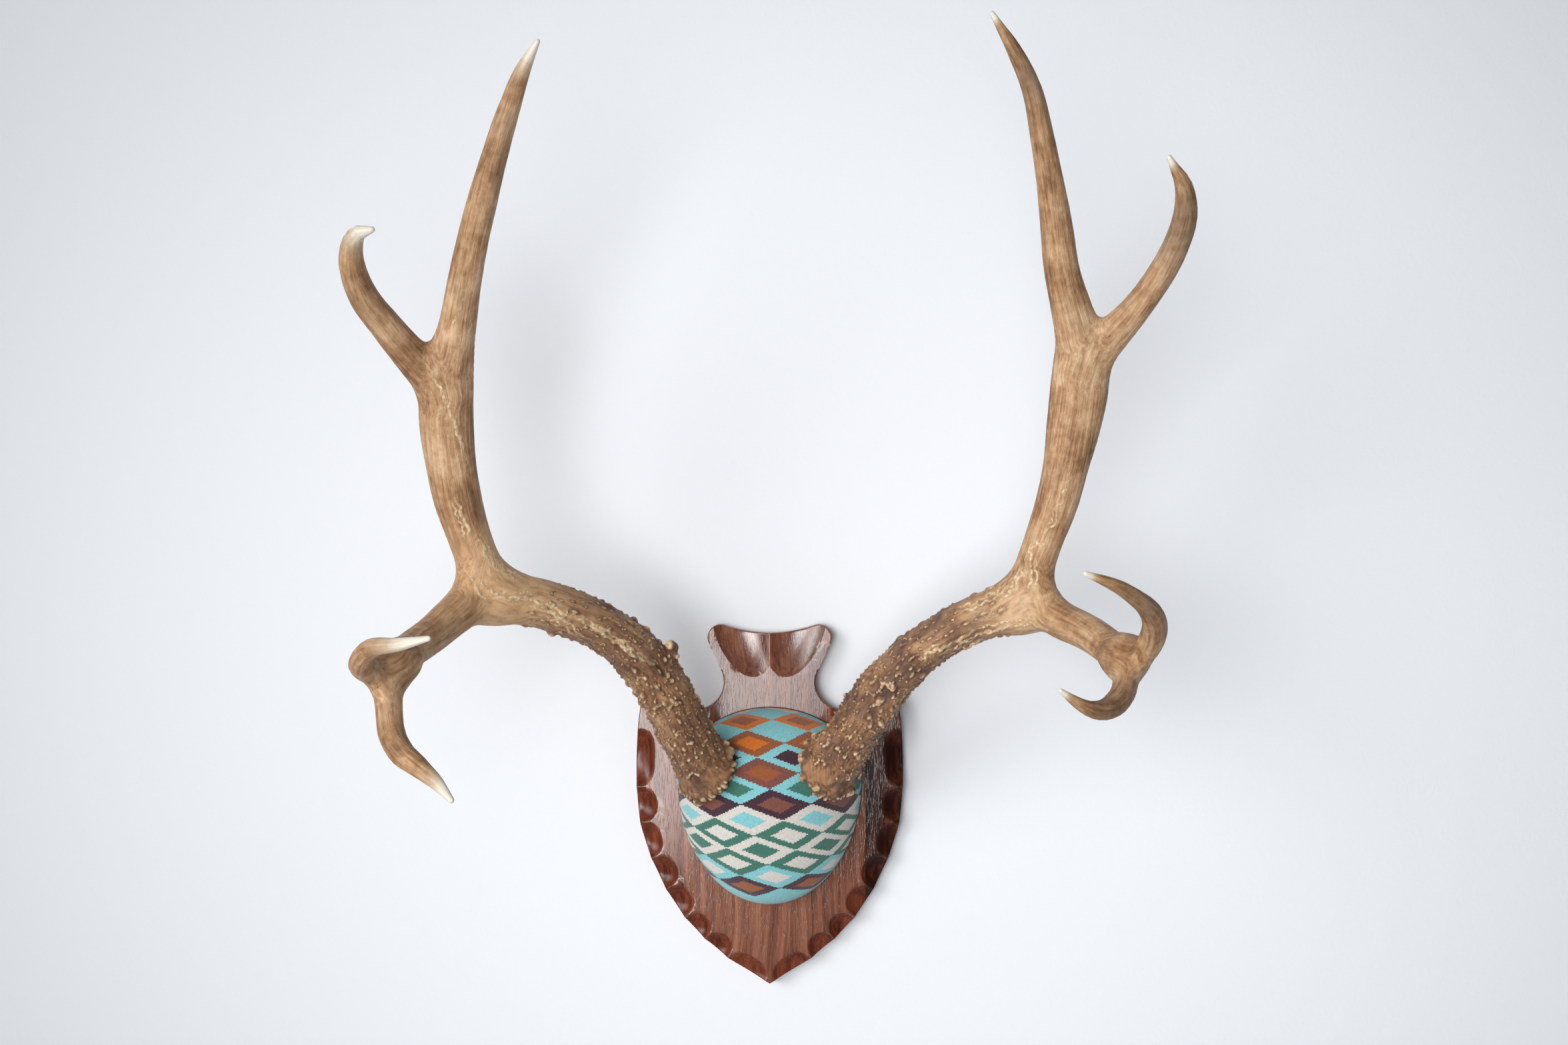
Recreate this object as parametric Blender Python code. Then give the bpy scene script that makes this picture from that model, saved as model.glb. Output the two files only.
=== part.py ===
"""Deer antler trophy mount for a wall.

A carved walnut shield carries an egg-shaped boss covered in woven cloth, and a pair of mule deer
antlers stands on the boss. Metres, +Z up. The origin is the centre of the shield's back, which
lies flat on the wall, and the front faces -Y. +X is the viewer's right.
"""

import math

import bmesh
import bpy
import numpy as np
from mathutils import Vector

# Fit between pieces that touch
TOUCH_GAP = 0.0003

# Shield: overall sizes
SHIELD_WIDTH = 0.2272
SHIELD_HEIGHT = 0.3066
SHIELD_THICKNESS = 0.019
SHOULDER_ROUND = 0.004

# Shield: head and neck
HEAD_WIDTH = 0.1062
HEAD_DIP = 0.0072
EAR_RADIUS = 0.0108
NOTCH_RADIUS = 0.0243
NOTCH_DROP = 0.0488
NECK_WIDTH = 0.0786

# Shield: the flank from the shoulder's corner down to the tip, as shares of the half width
# and half height
FLANK = (
    (0.957, 0.620),
    (0.990, 0.420),
    (1.000, 0.130),
    (0.968, -0.115),
    (0.882, -0.312),
    (0.765, -0.490),
    (0.611, -0.654),
    (0.303, -0.862),
    (0.000, -1.000),
)

# Scallops round the flank: start and end as shares of the flank's length, with the reach
# inwards and the depth at the edge in metres
SCALLOPS = (
    (0.106, 0.272, 0.0160, 0.0062),
    (0.275, 0.380, 0.0172, 0.0066),
    (0.376, 0.484, 0.0148, 0.0062),
    (0.488, 0.588, 0.0176, 0.0072),
    (0.584, 0.682, 0.0168, 0.0070),
    (0.686, 0.772, 0.0150, 0.0068),
    (0.768, 0.852, 0.0146, 0.0066),
    (0.857, 0.985, 0.0138, 0.0060),
)
SCALLOP_OVERHANG = 0.0015
SCALLOP_PROBE = 0.001
# A gouge is the cap of an ellipsoid whose centre floats in front of the face by this share of
# its own depth radius
GOUGE_FLOAT = 0.70

# Shoulder gouges beside the neck, and the fan of two flutes on the head
SHOULDER_GOUGE_HALF = 0.0231
SHOULDER_GOUGE_SHIFT = 0.010
SHOULDER_GOUGE_REACH = 0.016
SHOULDER_GOUGE_DEPTH = 0.0050
FLUTE_HALF_WIDTH = 0.0245
FLUTE_LENGTH = 0.0460
FLUTE_DEPTH = 0.0075
FLUTE_SPREAD = 0.0232
FLUTE_LEAN = math.radians(17.0)

# Boss
BOSS_WIDTH = 0.156
BOSS_RISE = 0.063
BOSS_FALL = 0.104
BOSS_DEPTH = 0.062
BOSS_WIDEST_HEIGHT = 0.020
BOSS_TUCK = 0.0022
BOSS_TUCK_DEPTH = 0.006

# Where each burr sits: shares of the boss's half width and of its rise above the widest line
SEAT_LEFT = (-0.648, 0.230)
SEAT_RIGHT = (0.610, 0.254)

# Antlers: height from the burr's centre to the top tip, and the burr's ring
LEFT_HEIGHT = 0.540
RIGHT_HEIGHT = 0.558
BURR_RING_RADIUS = 0.0218
BURR_ROLL_RADIUS = 0.0048
BURR_LIFT = 0.0068
BURR_LUMPS = 9
BURR_LUMP_SHARE = 0.16
PEDICLE_RADIUS = 0.0185
PEDICLE_DEPTH = 0.016

# How widely each branch runs into what it grows from
FILLETS = {
    "pedicle": 0.010,
    "burr": 0.009,
    "back": 0.020,
    "outer": 0.009,
    "upper": 0.010,
    "lower": 0.016,
    "knob": 0.005,
}

# Branches of the left antler. Each row is (aside, forward, up, radius, flatness) in hundredths
# of the antler's height, measured from the burr's centre. Aside is away from the middle, and a
# flatness under 1 presses the branch flat front to back.
LEFT_BRANCHES = {
    "beam": (
        (0.3, 1.4, 1.2, 3.85, 1.0),
        (3.0, 6.8, 7.2, 3.9, 1.0),
        (6.3, 12.4, 14.4, 3.75, 1.0),
        (10.5, 17.0, 19.9, 3.5, 1.0),
        (14.6, 20.4, 23.1, 3.4, 1.0),
        (19.0, 23.0, 25.1, 3.45, 1.0),
        (23.4, 25.2, 26.6, 3.5, 0.95),
        (27.6, 27.0, 27.3, 3.6, 0.95),
        (31.0, 29.2, 26.9, 3.1, 0.95),
        (33.5, 33.1, 24.9, 2.75, 1.0),
        (35.8, 38.2, 22.5, 2.5, 1.0),
        (37.9, 43.8, 20.6, 2.4, 1.0),
        (39.2, 47.9, 18.9, 2.2, 1.0),
    ),
    "back": (
        (29.2, 27.4, 28.0, 3.3, 0.95),
        (31.5, 29.5, 35.1, 3.0, 0.95),
        (33.2, 31.5, 41.6, 3.35, 0.9),
        (33.9, 33.4, 47.0, 3.5, 0.82),
        (34.2, 35.2, 53.0, 3.75, 0.72),
        (33.6, 37.1, 58.8, 3.5, 0.72),
        (32.2, 39.0, 63.8, 2.65, 0.9),
        (30.8, 41.5, 69.9, 2.3, 1.0),
        (29.4, 43.6, 75.2, 2.15, 1.0),
        (27.6, 46.0, 80.9, 2.0, 1.0),
        (25.6, 48.4, 86.7, 1.7, 1.0),
        (23.4, 50.6, 92.4, 1.4, 1.0),
        (21.7, 51.9, 96.5, 1.05, 1.0),
        (19.6, 52.8, 100.2, 0.35, 1.0),
    ),
    "outer": (
        (34.6, 36.4, 56.6, 3.2, 0.75),
        (38.1, 38.8, 60.3, 2.5, 0.85),
        (41.2, 41.7, 64.3, 2.15, 1.0),
        (43.7, 44.3, 67.9, 2.0, 1.0),
        (44.7, 46.7, 71.2, 1.75, 1.0),
        (44.5, 48.9, 73.9, 1.5, 1.0),
        (43.4, 50.7, 75.5, 1.1, 1.0),
        (41.2, 52.2, 75.9, 0.45, 1.0),
    ),
    "upper": (
        (38.4, 46.2, 19.6, 2.2, 1.0),
        (40.9, 51.2, 18.5, 1.75, 1.0),
        (41.9, 56.0, 19.7, 1.55, 1.0),
        (39.7, 60.4, 22.0, 1.25, 1.0),
        (35.6, 64.0, 22.7, 0.85, 1.0),
        (31.4, 67.0, 23.6, 0.35, 1.0),
    ),
    "lower": (
        (39.1, 47.4, 19.2, 2.2, 1.0),
        (39.3, 50.4, 15.8, 1.85, 1.0),
        (38.9, 52.3, 13.2, 1.75, 1.0),
        (38.2, 54.3, 10.6, 1.75, 1.0),
        (36.7, 56.4, 8.6, 1.65, 1.0),
        (33.9, 58.9, 6.8, 1.35, 1.0),
        (31.3, 61.2, 5.1, 0.9, 1.0),
        (29.2, 63.1, 3.2, 0.4, 1.0),
    ),
    "knob": (
        (5.6, 14.0, 15.6, 1.9, 1.0),
        (4.3, 14.7, 18.6, 1.0, 1.0),
        (3.9, 14.9, 19.5, 0.75, 1.0),
    ),
}
RIGHT_BRANCHES = {
    "beam": (
        (0.2, 1.2, 1.0, 3.75, 1.0),
        (3.6, 6.5, 6.4, 3.55, 1.0),
        (6.5, 11.4, 11.5, 3.5, 1.0),
        (9.3, 15.2, 15.2, 3.2, 1.0),
        (12.4, 18.6, 18.6, 3.05, 1.0),
        (16.4, 21.6, 21.4, 3.1, 1.0),
        (20.9, 24.5, 23.7, 3.2, 0.95),
        (24.4, 26.3, 24.7, 3.2, 0.95),
        (27.7, 28.4, 24.7, 2.8, 0.95),
        (30.5, 32.4, 23.1, 2.5, 1.0),
        (33.1, 37.4, 21.8, 2.35, 1.0),
        (35.1, 42.1, 20.2, 2.3, 1.0),
        (36.6, 45.8, 18.9, 2.2, 1.0),
    ),
    "back": (
        (25.6, 26.6, 25.2, 3.0, 0.95),
        (27.9, 28.5, 33.0, 2.6, 0.95),
        (29.7, 30.1, 38.7, 2.85, 0.92),
        (30.8, 31.9, 44.0, 3.05, 0.88),
        (31.6, 33.7, 49.4, 3.6, 0.76),
        (32.2, 35.1, 54.6, 3.85, 0.7),
        (32.1, 36.6, 59.7, 3.3, 0.75),
        (30.6, 38.5, 64.6, 2.65, 0.9),
        (29.1, 40.6, 69.5, 2.3, 1.0),
        (28.2, 42.5, 74.6, 2.1, 1.0),
        (27.1, 44.6, 80.2, 1.75, 1.0),
        (25.8, 46.6, 85.8, 1.5, 1.0),
        (24.3, 48.4, 91.4, 1.25, 1.0),
        (22.2, 49.5, 95.5, 0.95, 1.0),
        (19.2, 50.2, 100.3, 0.35, 1.0),
    ),
    "outer": (
        (32.6, 36.0, 57.2, 3.0, 0.75),
        (35.9, 37.6, 60.8, 2.4, 0.85),
        (39.0, 39.7, 64.3, 1.95, 1.0),
        (41.4, 41.9, 67.9, 1.8, 1.0),
        (43.3, 44.2, 71.9, 1.7, 1.0),
        (44.2, 46.2, 75.8, 1.5, 1.0),
        (43.8, 47.6, 78.7, 1.15, 1.0),
        (41.6, 49.2, 82.4, 0.35, 1.0),
    ),
    "upper": (
        (36.4, 44.6, 19.2, 2.1, 1.0),
        (38.6, 48.6, 20.3, 1.7, 1.0),
        (39.2, 52.4, 23.0, 1.65, 1.0),
        (38.2, 55.7, 25.3, 1.4, 1.0),
        (36.1, 58.4, 27.0, 1.1, 1.0),
        (33.6, 60.3, 28.5, 0.85, 1.0),
        (29.2, 62.5, 30.2, 0.35, 1.0),
    ),
    "lower": (
        (36.6, 45.6, 19.0, 2.1, 1.0),
        (36.2, 48.8, 16.8, 1.65, 1.0),
        (35.4, 51.4, 15.0, 1.55, 1.0),
        (34.0, 53.7, 13.8, 1.5, 1.0),
        (32.3, 55.8, 13.3, 1.3, 1.0),
        (30.4, 57.7, 13.6, 1.0, 1.0),
        (28.6, 59.1, 14.5, 0.7, 1.0),
        (26.5, 60.4, 16.0, 0.3, 1.0),
    ),
}

# Mesh fineness
FLANK_STEP = 0.007
DIP_STEPS = 9
EAR_STEPS = 14
NOTCH_STEPS = 18
SHOULDER_STEPS = 5
PATH_STEP = 0.009
BURR_STEPS = 36
END_STEPS = 2
TUBE_SIDES = 14
VOXEL = 0.0028
ANTLER_FACES = 2700
BOSS_SEGMENTS = 36
BOSS_RINGS = 10
GOUGE_SEGMENTS = 16
FLUTE_SEGMENTS = 24
SMOOTH_ANGLE = math.radians(35.0)
BOSS_SMOOTH_ANGLE = math.radians(60.0)

# Drawing a skin onto the blend of its branches: how often, and the least slope to divide by
SKIN_PASSES = 5
LEAST_SLOPE = 0.25


def clear_scene():
    for obj in list(bpy.data.objects):
        bpy.data.objects.remove(obj, do_unlink=True)


def make_material(name, colour, roughness, metallic=0.0):
    material = bpy.data.materials.new(name)
    material.use_nodes = True
    shader = material.node_tree.nodes["Principled BSDF"]
    shader.inputs["Base Color"].default_value = (*colour, 1.0)
    shader.inputs["Roughness"].default_value = roughness
    shader.inputs["Metallic"].default_value = metallic
    return material


def add_object(name, mesh, material=None):
    obj = bpy.data.objects.new(name, mesh)
    bpy.context.scene.collection.objects.link(obj)
    if material is not None:
        mesh.materials.append(material)
    return obj


def as_cutter(obj):
    obj.hide_render = True
    obj.display_type = "WIRE"
    return obj


def cut(obj, cutter):
    modifier = obj.modifiers.new("Cut " + cutter.name, "BOOLEAN")
    modifier.operation = "DIFFERENCE"
    modifier.solver = "EXACT"
    modifier.object = cutter


def into_mesh(bm, name):
    """Closes off a bmesh as a mesh whose faces all point out."""
    bm.normal_update()
    bmesh.ops.recalc_face_normals(bm, faces=bm.faces)
    if bm.calc_volume(signed=True) < 0.0:
        bmesh.ops.reverse_faces(bm, faces=bm.faces)
    mesh = bpy.data.meshes.new(name)
    bm.to_mesh(mesh)
    bm.free()
    return mesh


def evaluated_mesh(obj):
    """The object's mesh with its modifiers applied."""
    graph = bpy.context.evaluated_depsgraph_get()
    return bpy.data.meshes.new_from_object(obj.evaluated_get(graph))


def hermite(points, distances, at):
    """A smooth curve through points, read at the distances in at."""
    slopes = np.gradient(points, distances, axis=0)
    index = np.clip(np.searchsorted(distances, at, side="right") - 1, 0, len(points) - 2)
    span = (distances[index + 1] - distances[index])[:, None]
    t = (at - distances[index])[:, None] / span
    start = (2 * t**3 - 3 * t**2 + 1) * points[index]
    start_slope = (t**3 - 2 * t**2 + t) * span * slopes[index]
    end = (3 * t**2 - 2 * t**3) * points[index + 1]
    end_slope = (t**3 - t**2) * span * slopes[index + 1]
    return start + start_slope + end + end_slope


def smooth_path(points, step, place=slice(0, 3)):
    """Points a step apart along a smooth curve through hand-placed ones."""
    points = np.array(points, dtype=float)
    gaps = np.linalg.norm(np.diff(points[:, place], axis=0), axis=1)
    distances = np.concatenate([[0.0], np.cumsum(gaps)])
    count = max(2, int(math.ceil(distances[-1] / step))) + 1
    return hermite(points, distances, np.linspace(0.0, distances[-1], count))


# Shield

def arc(centre, radius, start, end, steps):
    """Points on an arc from one angle to another."""
    angles = np.linspace(start, end, steps)
    return [(centre[0] + radius * math.cos(a), centre[1] + radius * math.sin(a)) for a in angles]


def head_and_notch():
    """The right half of the shield's top, from the middle of the head to the notch's bottom."""
    top = SHIELD_HEIGHT / 2
    ear = (HEAD_WIDTH / 2 - EAR_RADIUS, top - EAR_RADIUS)
    notch = (NECK_WIDTH / 2 + NOTCH_RADIUS, top - NOTCH_DROP)
    # The dip is an arc that meets the ear's arc without a corner.
    fall = EAR_RADIUS - HEAD_DIP
    dip_radius = (ear[0] ** 2 + fall**2 - EAR_RADIUS**2) / (2 * (EAR_RADIUS - fall))
    dip_centre = (0.0, top - HEAD_DIP + dip_radius)
    lean = math.atan2(ear[0], dip_centre[1] - ear[1])
    points = arc(dip_centre, dip_radius, -math.pi / 2, -math.pi / 2 + lean, DIP_STEPS)
    # The ear turns over into a straight that runs on into the notch's arc.
    apart = math.hypot(notch[0] - ear[0], notch[1] - ear[1])
    along = math.atan2(notch[1] - ear[1], notch[0] - ear[0])
    swing = math.acos(min(1.0, (EAR_RADIUS + NOTCH_RADIUS) / apart))
    points += arc(ear, EAR_RADIUS, math.pi / 2 + lean, along + swing, EAR_STEPS)[1:]
    return points, notch, along + swing


def flank_points():
    """The right flank from the shoulder's corner down to the tip."""
    half = np.array([SHIELD_WIDTH / 2, SHIELD_HEIGHT / 2])
    return smooth_path(np.array(FLANK) * half, FLANK_STEP, slice(0, 2))


def rounded_corner(before, corner, after, radius):
    """A quadratic curve that takes the sharpness off a corner."""
    start = corner + (before - corner) * radius / np.linalg.norm(before - corner)
    end = corner + (after - corner) * radius / np.linalg.norm(after - corner)
    return [
        tuple((1 - t) ** 2 * start + 2 * t * (1 - t) * corner + t**2 * end)
        for t in np.linspace(0.0, 1.0, SHOULDER_STEPS)
    ]


def shield_half_outline():
    points, notch, notch_start = head_and_notch()
    flank = flank_points()
    corner = flank[0]
    # The shoulder is the straight from the corner that just touches the notch's arc.
    reach = math.hypot(corner[0] - notch[0], corner[1] - notch[1])
    heading = math.atan2(corner[1] - notch[1], corner[0] - notch[0])
    notch_end = heading - math.acos(min(1.0, NOTCH_RADIUS / reach))
    notch_turn = (notch_start + math.pi, notch_end + 2 * math.pi)
    points += arc(notch, NOTCH_RADIUS, *notch_turn, NOTCH_STEPS)
    points += rounded_corner(np.array(points[-1]), corner, flank[1], SHOULDER_ROUND)
    points += [tuple(point) for point in flank[1:]]
    return points


def shield_outline():
    right = shield_half_outline()
    left = [(-x, z) for x, z in reversed(right[1:-1])]
    return right + left


def gouge(name, centre, along, half_length, reach, depth, segments):
    """An ellipsoid cap that cuts a hollow in the shield's front face."""
    bm = bmesh.new()
    bmesh.ops.create_uvsphere(bm, u_segments=segments, v_segments=segments, radius=1.0)
    cap = math.sqrt(1.0 - GOUGE_FLOAT**2)
    sizes = Vector((half_length / cap, reach / cap, depth / (1.0 - GOUGE_FLOAT)))
    side = Vector((-along.y, along.x))
    face = -SHIELD_THICKNESS
    for vertex in bm.verts:
        u = vertex.co.x * sizes.x
        v = vertex.co.y * sizes.y
        out = (vertex.co.z + GOUGE_FLOAT) * sizes.z
        vertex.co = (
            centre[0] + along.x * u + side.x * v,
            face - out,
            centre[1] + along.y * u + side.y * v,
        )
    return as_cutter(add_object(name, into_mesh(bm, name)))


def scallop_cutters():
    """The hollows round both flanks, each centred just outside the edge."""
    flank = flank_points()
    steps = np.linalg.norm(np.diff(flank, axis=0), axis=1)
    distances = np.concatenate([[0.0], np.cumsum(steps)])
    cutters = []
    for number, (start, end, reach, depth) in enumerate(SCALLOPS, 1):
        middle = (start + end) / 2 * distances[-1]
        half_length = (end - start) / 2 * distances[-1]
        here, ahead = hermite(flank, distances, np.array([middle, middle + SCALLOP_PROBE]))
        along = Vector(ahead - here).normalized()
        outward = Vector((-along.y, along.x))
        centre = Vector(here) + outward * SCALLOP_OVERHANG
        for side, word in ((1, "right"), (-1, "left")):
            cutters.append(
                gouge(
                    f"scallop_{number}_{word}",
                    (side * centre.x, centre.y),
                    Vector((side * along.x, along.y)),
                    half_length,
                    reach + SCALLOP_OVERHANG,
                    depth,
                    GOUGE_SEGMENTS,
                )
            )
    return cutters


def shoulder_and_head_cutters():
    top = SHIELD_HEIGHT / 2
    notch_x = NECK_WIDTH / 2 + NOTCH_RADIUS
    shoulder_z = top - NOTCH_DROP - NOTCH_RADIUS
    cutters = []
    for side, word in ((1, "right"), (-1, "left")):
        shoulder = (side * (notch_x + SHOULDER_GOUGE_SHIFT), shoulder_z)
        cutters.append(
            gouge(
                f"shoulder_gouge_{word}",
                shoulder,
                Vector((1.0, 0.0)),
                SHOULDER_GOUGE_HALF,
                SHOULDER_GOUGE_REACH,
                SHOULDER_GOUGE_DEPTH,
                GOUGE_SEGMENTS,
            )
        )
        lean = Vector((side * math.sin(FLUTE_LEAN), math.cos(FLUTE_LEAN)))
        cutters.append(
            gouge(
                f"head_flute_{word}",
                (side * FLUTE_SPREAD, top),
                lean,
                FLUTE_LENGTH,
                FLUTE_HALF_WIDTH,
                FLUTE_DEPTH,
                FLUTE_SEGMENTS,
            )
        )
    return cutters


def make_shield():
    bm = bmesh.new()
    back = [bm.verts.new((x, 0.0, z)) for x, z in shield_outline()]
    face = bm.faces.new(back)
    grown = bmesh.ops.extrude_face_region(bm, geom=[face])
    front = [item for item in grown["geom"] if isinstance(item, bmesh.types.BMVert)]
    bmesh.ops.translate(bm, verts=front, vec=(0.0, -SHIELD_THICKNESS, 0.0))
    mesh = into_mesh(bm, "plaque")
    walnut = make_material("walnut", (0.16, 0.075, 0.045), 0.45)
    shield = add_object("plaque", mesh, walnut)
    for cutter in scallop_cutters() + shoulder_and_head_cutters():
        cut(shield, cutter)
    mesh.shade_smooth()
    mesh.set_sharp_from_angle(angle=SMOOTH_ANGLE)
    return shield


# Boss

def boss_base_y():
    return -SHIELD_THICKNESS - TOUCH_GAP


def boss_vertical_half(upward):
    return BOSS_RISE if upward else BOSS_FALL


def boss_mesh(name, grow=0.0):
    """The egg-shaped dome, grown outwards all round by a clearance."""
    bm = bmesh.new()
    base = boss_base_y() + grow
    rows = [(1.0 - BOSS_TUCK / (BOSS_WIDTH / 2), 0.0), (1.0, BOSS_TUCK_DEPTH / BOSS_DEPTH)]
    first = math.asin(BOSS_TUCK_DEPTH / BOSS_DEPTH)
    for step in range(1, BOSS_RINGS):
        angle = first + (math.pi / 2 - first) * step / BOSS_RINGS
        rows.append((math.cos(angle), math.sin(angle)))
    rings = []
    for spread, height in rows:
        ring = []
        for segment in range(BOSS_SEGMENTS):
            turn = 2 * math.pi * segment / BOSS_SEGMENTS
            half = boss_vertical_half(math.sin(turn) >= 0.0) + grow
            x = (BOSS_WIDTH / 2 + grow) * spread * math.cos(turn)
            z = BOSS_WIDEST_HEIGHT + half * spread * math.sin(turn)
            y = base - (BOSS_DEPTH + 2 * grow) * height
            ring.append(bm.verts.new((x, y, z)))
        rings.append(ring)
    apex = bm.verts.new((0.0, base - BOSS_DEPTH - 2 * grow, BOSS_WIDEST_HEIGHT))
    bm.faces.new(rings[0])
    for lower, upper in zip(rings, rings[1:]):
        for index in range(BOSS_SEGMENTS):
            after = (index + 1) % BOSS_SEGMENTS
            bm.faces.new((lower[index], lower[after], upper[after], upper[index]))
    for index in range(BOSS_SEGMENTS):
        bm.faces.new((rings[-1][index], rings[-1][(index + 1) % BOSS_SEGMENTS], apex))
    return into_mesh(bm, name)


def make_boss():
    cloth = make_material("woven_cloth", (0.18, 0.42, 0.44), 0.95)
    boss = add_object("covered_boss", boss_mesh("covered_boss"), cloth)
    boss.data.shade_smooth()
    boss.data.set_sharp_from_angle(angle=BOSS_SMOOTH_ANGLE)
    return boss


def boss_seat(share_x, share_up):
    """The point of the boss's surface at these shares, and the way that it faces there."""
    x = share_x * BOSS_WIDTH / 2
    up = share_up * BOSS_RISE
    height = BOSS_DEPTH * math.sqrt(1.0 - share_x**2 - share_up**2)
    point = Vector((x, boss_base_y() - height, BOSS_WIDEST_HEIGHT + up))
    facing = Vector((x / (BOSS_WIDTH / 2) ** 2, -height / BOSS_DEPTH**2, up / BOSS_RISE**2))
    return point, facing.normalized()


# Antlers

def branch_paths(branches, height, side, centre):
    """Each branch as smooth rows of (x, y, z, radius, flatness) in metres."""
    paths = {}
    for branch, rows in branches.items():
        placed = []
        for aside, forward, up, radius, flatness in rows:
            place = np.array([side * aside, -forward, up]) * height / 100 + centre
            placed.append((*place, radius * height / 100, flatness))
        paths[branch] = smooth_path(placed, PATH_STEP)
    return paths


def burr_path(centre, facing):
    """The burr's beaded ring, a closed loop about the way that the boss faces."""
    aside = facing.orthogonal().normalized()
    other = facing.cross(aside)
    rows = []
    for step in range(BURR_STEPS + 1):
        turn = 2 * math.pi * step / BURR_STEPS
        lump = 1.0 + BURR_LUMP_SHARE * math.sin(BURR_LUMPS * turn)
        spot = centre + BURR_RING_RADIUS * (aside * math.cos(turn) + other * math.sin(turn))
        rows.append((*spot, BURR_ROLL_RADIUS * lump, 1.0))
    return np.array(rows)


def pedicle_path(centre, facing, start):
    """The stub under the burr, from inside the boss up to the beam's first point."""
    root = centre - facing * (BURR_LIFT + PEDICLE_DEPTH)
    return np.array([(*root, PEDICLE_RADIUS, 1.0), (*centre, PEDICLE_RADIUS, 1.0), start])


def branch_distance(points, path):
    """How far each point is outside one branch, and the direction straight out of it."""
    best = np.full(len(points), np.inf)
    out = np.zeros((len(points), 3))
    for a, b in zip(path, path[1:]):
        line = b[:3] - a[:3]
        t = np.clip((points - a[:3]) @ line / (line @ line), 0.0, 1.0)
        offset = points - a[:3] - t[:, None] * line
        squeeze = 1.0 / (a[4] + t * (b[4] - a[4]))
        offset[:, 1] *= squeeze
        length = np.maximum(np.linalg.norm(offset, axis=1), 1e-9)
        distance = length - (a[3] + t * (b[3] - a[3]))
        nearer = distance < best
        best = np.where(nearer, distance, best)
        offset[:, 1] *= squeeze
        out[nearer] = offset[nearer] / length[nearer, None]
    return best, out


def blended_distance(points, paths):
    """The distance to all branches, run together with a fillet where they meet."""
    distance, out = branch_distance(points, paths["beam"])
    for branch, fillet in FILLETS.items():
        if branch not in paths:
            continue
        other, other_out = branch_distance(points, paths[branch])
        overlap = np.clip(1.0 - np.abs(distance - other) / fillet, 0.0, 1.0)
        share = np.where(distance < other, 1.0 - overlap / 2, overlap / 2)[:, None]
        out = out * share + other_out * (1.0 - share)
        distance = np.minimum(distance, other) - overlap**2 * fillet / 4
    return distance, out


def with_round_ends(path):
    """Carries a path on past both ends, where its surface rounds off."""
    starts, ends = [], []
    for step in range(1, END_STEPS + 1):
        turn = math.pi / 2 * step / (END_STEPS + 1)
        for row, inner, group in ((path[0], path[1], starts), (path[-1], path[-2], ends)):
            way = (row[:3] - inner[:3]) / np.linalg.norm(row[:3] - inner[:3])
            reach = row[3] * math.sin(turn)
            group.append((*(row[:3] + way * reach), row[3] * math.cos(turn), row[4]))
    return np.array(starts[::-1] + list(path) + ends)


def tube_into(bm, path, sides):
    """A closed tube along one branch."""
    path = with_round_ends(path)
    rings = []
    for index, row in enumerate(path):
        before = path[max(index - 1, 0)][:3]
        after = path[min(index + 1, len(path) - 1)][:3]
        heading = Vector(after - before).normalized()
        aside = heading.cross(Vector((0.0, 1.0, 0.0)))
        if aside.length < 0.1:
            aside = heading.cross(Vector((1.0, 0.0, 0.0)))
        aside.normalize()
        other = heading.cross(aside)
        ring = []
        for number in range(sides):
            turn = 2 * math.pi * number / sides
            offset = (aside * math.cos(turn) + other * math.sin(turn)) * row[3]
            ring.append(bm.verts.new(Vector(row[:3]) + offset))
        rings.append(ring)
    bm.faces.new(rings[0])
    bm.faces.new(rings[-1])
    for lower, upper in zip(rings, rings[1:]):
        for number in range(sides):
            after = (number + 1) % sides
            bm.faces.new((lower[number], lower[after], upper[after], upper[number]))


def antler_body(name, paths):
    """One skin over all the branches: tubes run together, then drawn onto their blend."""
    bm = bmesh.new()
    for path in paths.values():
        tube_into(bm, path, TUBE_SIDES)
    tubes = add_object(name + "_tubes", into_mesh(bm, name + "_tubes"))
    remesh = tubes.modifiers.new("Run together", "REMESH")
    remesh.mode = "VOXEL"
    remesh.voxel_size = VOXEL
    body = evaluated_mesh(tubes)
    bpy.data.objects.remove(tubes, do_unlink=True)
    points = np.empty(len(body.vertices) * 3)
    body.vertices.foreach_get("co", points)
    points = points.reshape(-1, 3)
    for _ in range(SKIN_PASSES):
        distance, out = blended_distance(points, paths)
        steepness = np.maximum((out**2).sum(axis=1), LEAST_SLOPE)
        points = points - out * (distance / steepness)[:, None]
    body.vertices.foreach_set("co", points.ravel())
    body.update()
    body.name = name
    return body


def make_antler(name, branches, height, side, seat, clearance, material):
    point, facing = boss_seat(*seat)
    centre = point + facing * BURR_LIFT
    paths = branch_paths(branches, height, side, np.array(centre))
    paths["pedicle"] = pedicle_path(centre, facing, paths["beam"][0])
    paths["burr"] = burr_path(centre, facing)
    antler = add_object(name, antler_body(name, paths), material)
    thin = antler.modifiers.new("Fewer faces", "DECIMATE")
    faces = sum(len(face.vertices) - 2 for face in antler.data.polygons)
    thin.ratio = min(1.0, ANTLER_FACES / faces)
    cut(antler, clearance)
    antler.data.shade_smooth()
    return antler


def make_antlers():
    clearance = as_cutter(add_object("boss_clearance", boss_mesh("boss_clearance", TOUCH_GAP)))
    bone = make_material("antler", (0.40, 0.25, 0.13), 0.55)
    make_antler("antler_left", LEFT_BRANCHES, LEFT_HEIGHT, -1, SEAT_LEFT, clearance, bone)
    make_antler("antler_right", RIGHT_BRANCHES, RIGHT_HEIGHT, 1, SEAT_RIGHT, clearance, bone)


def main():
    clear_scene()
    make_shield()
    make_boss()
    make_antlers()


main()
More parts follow.
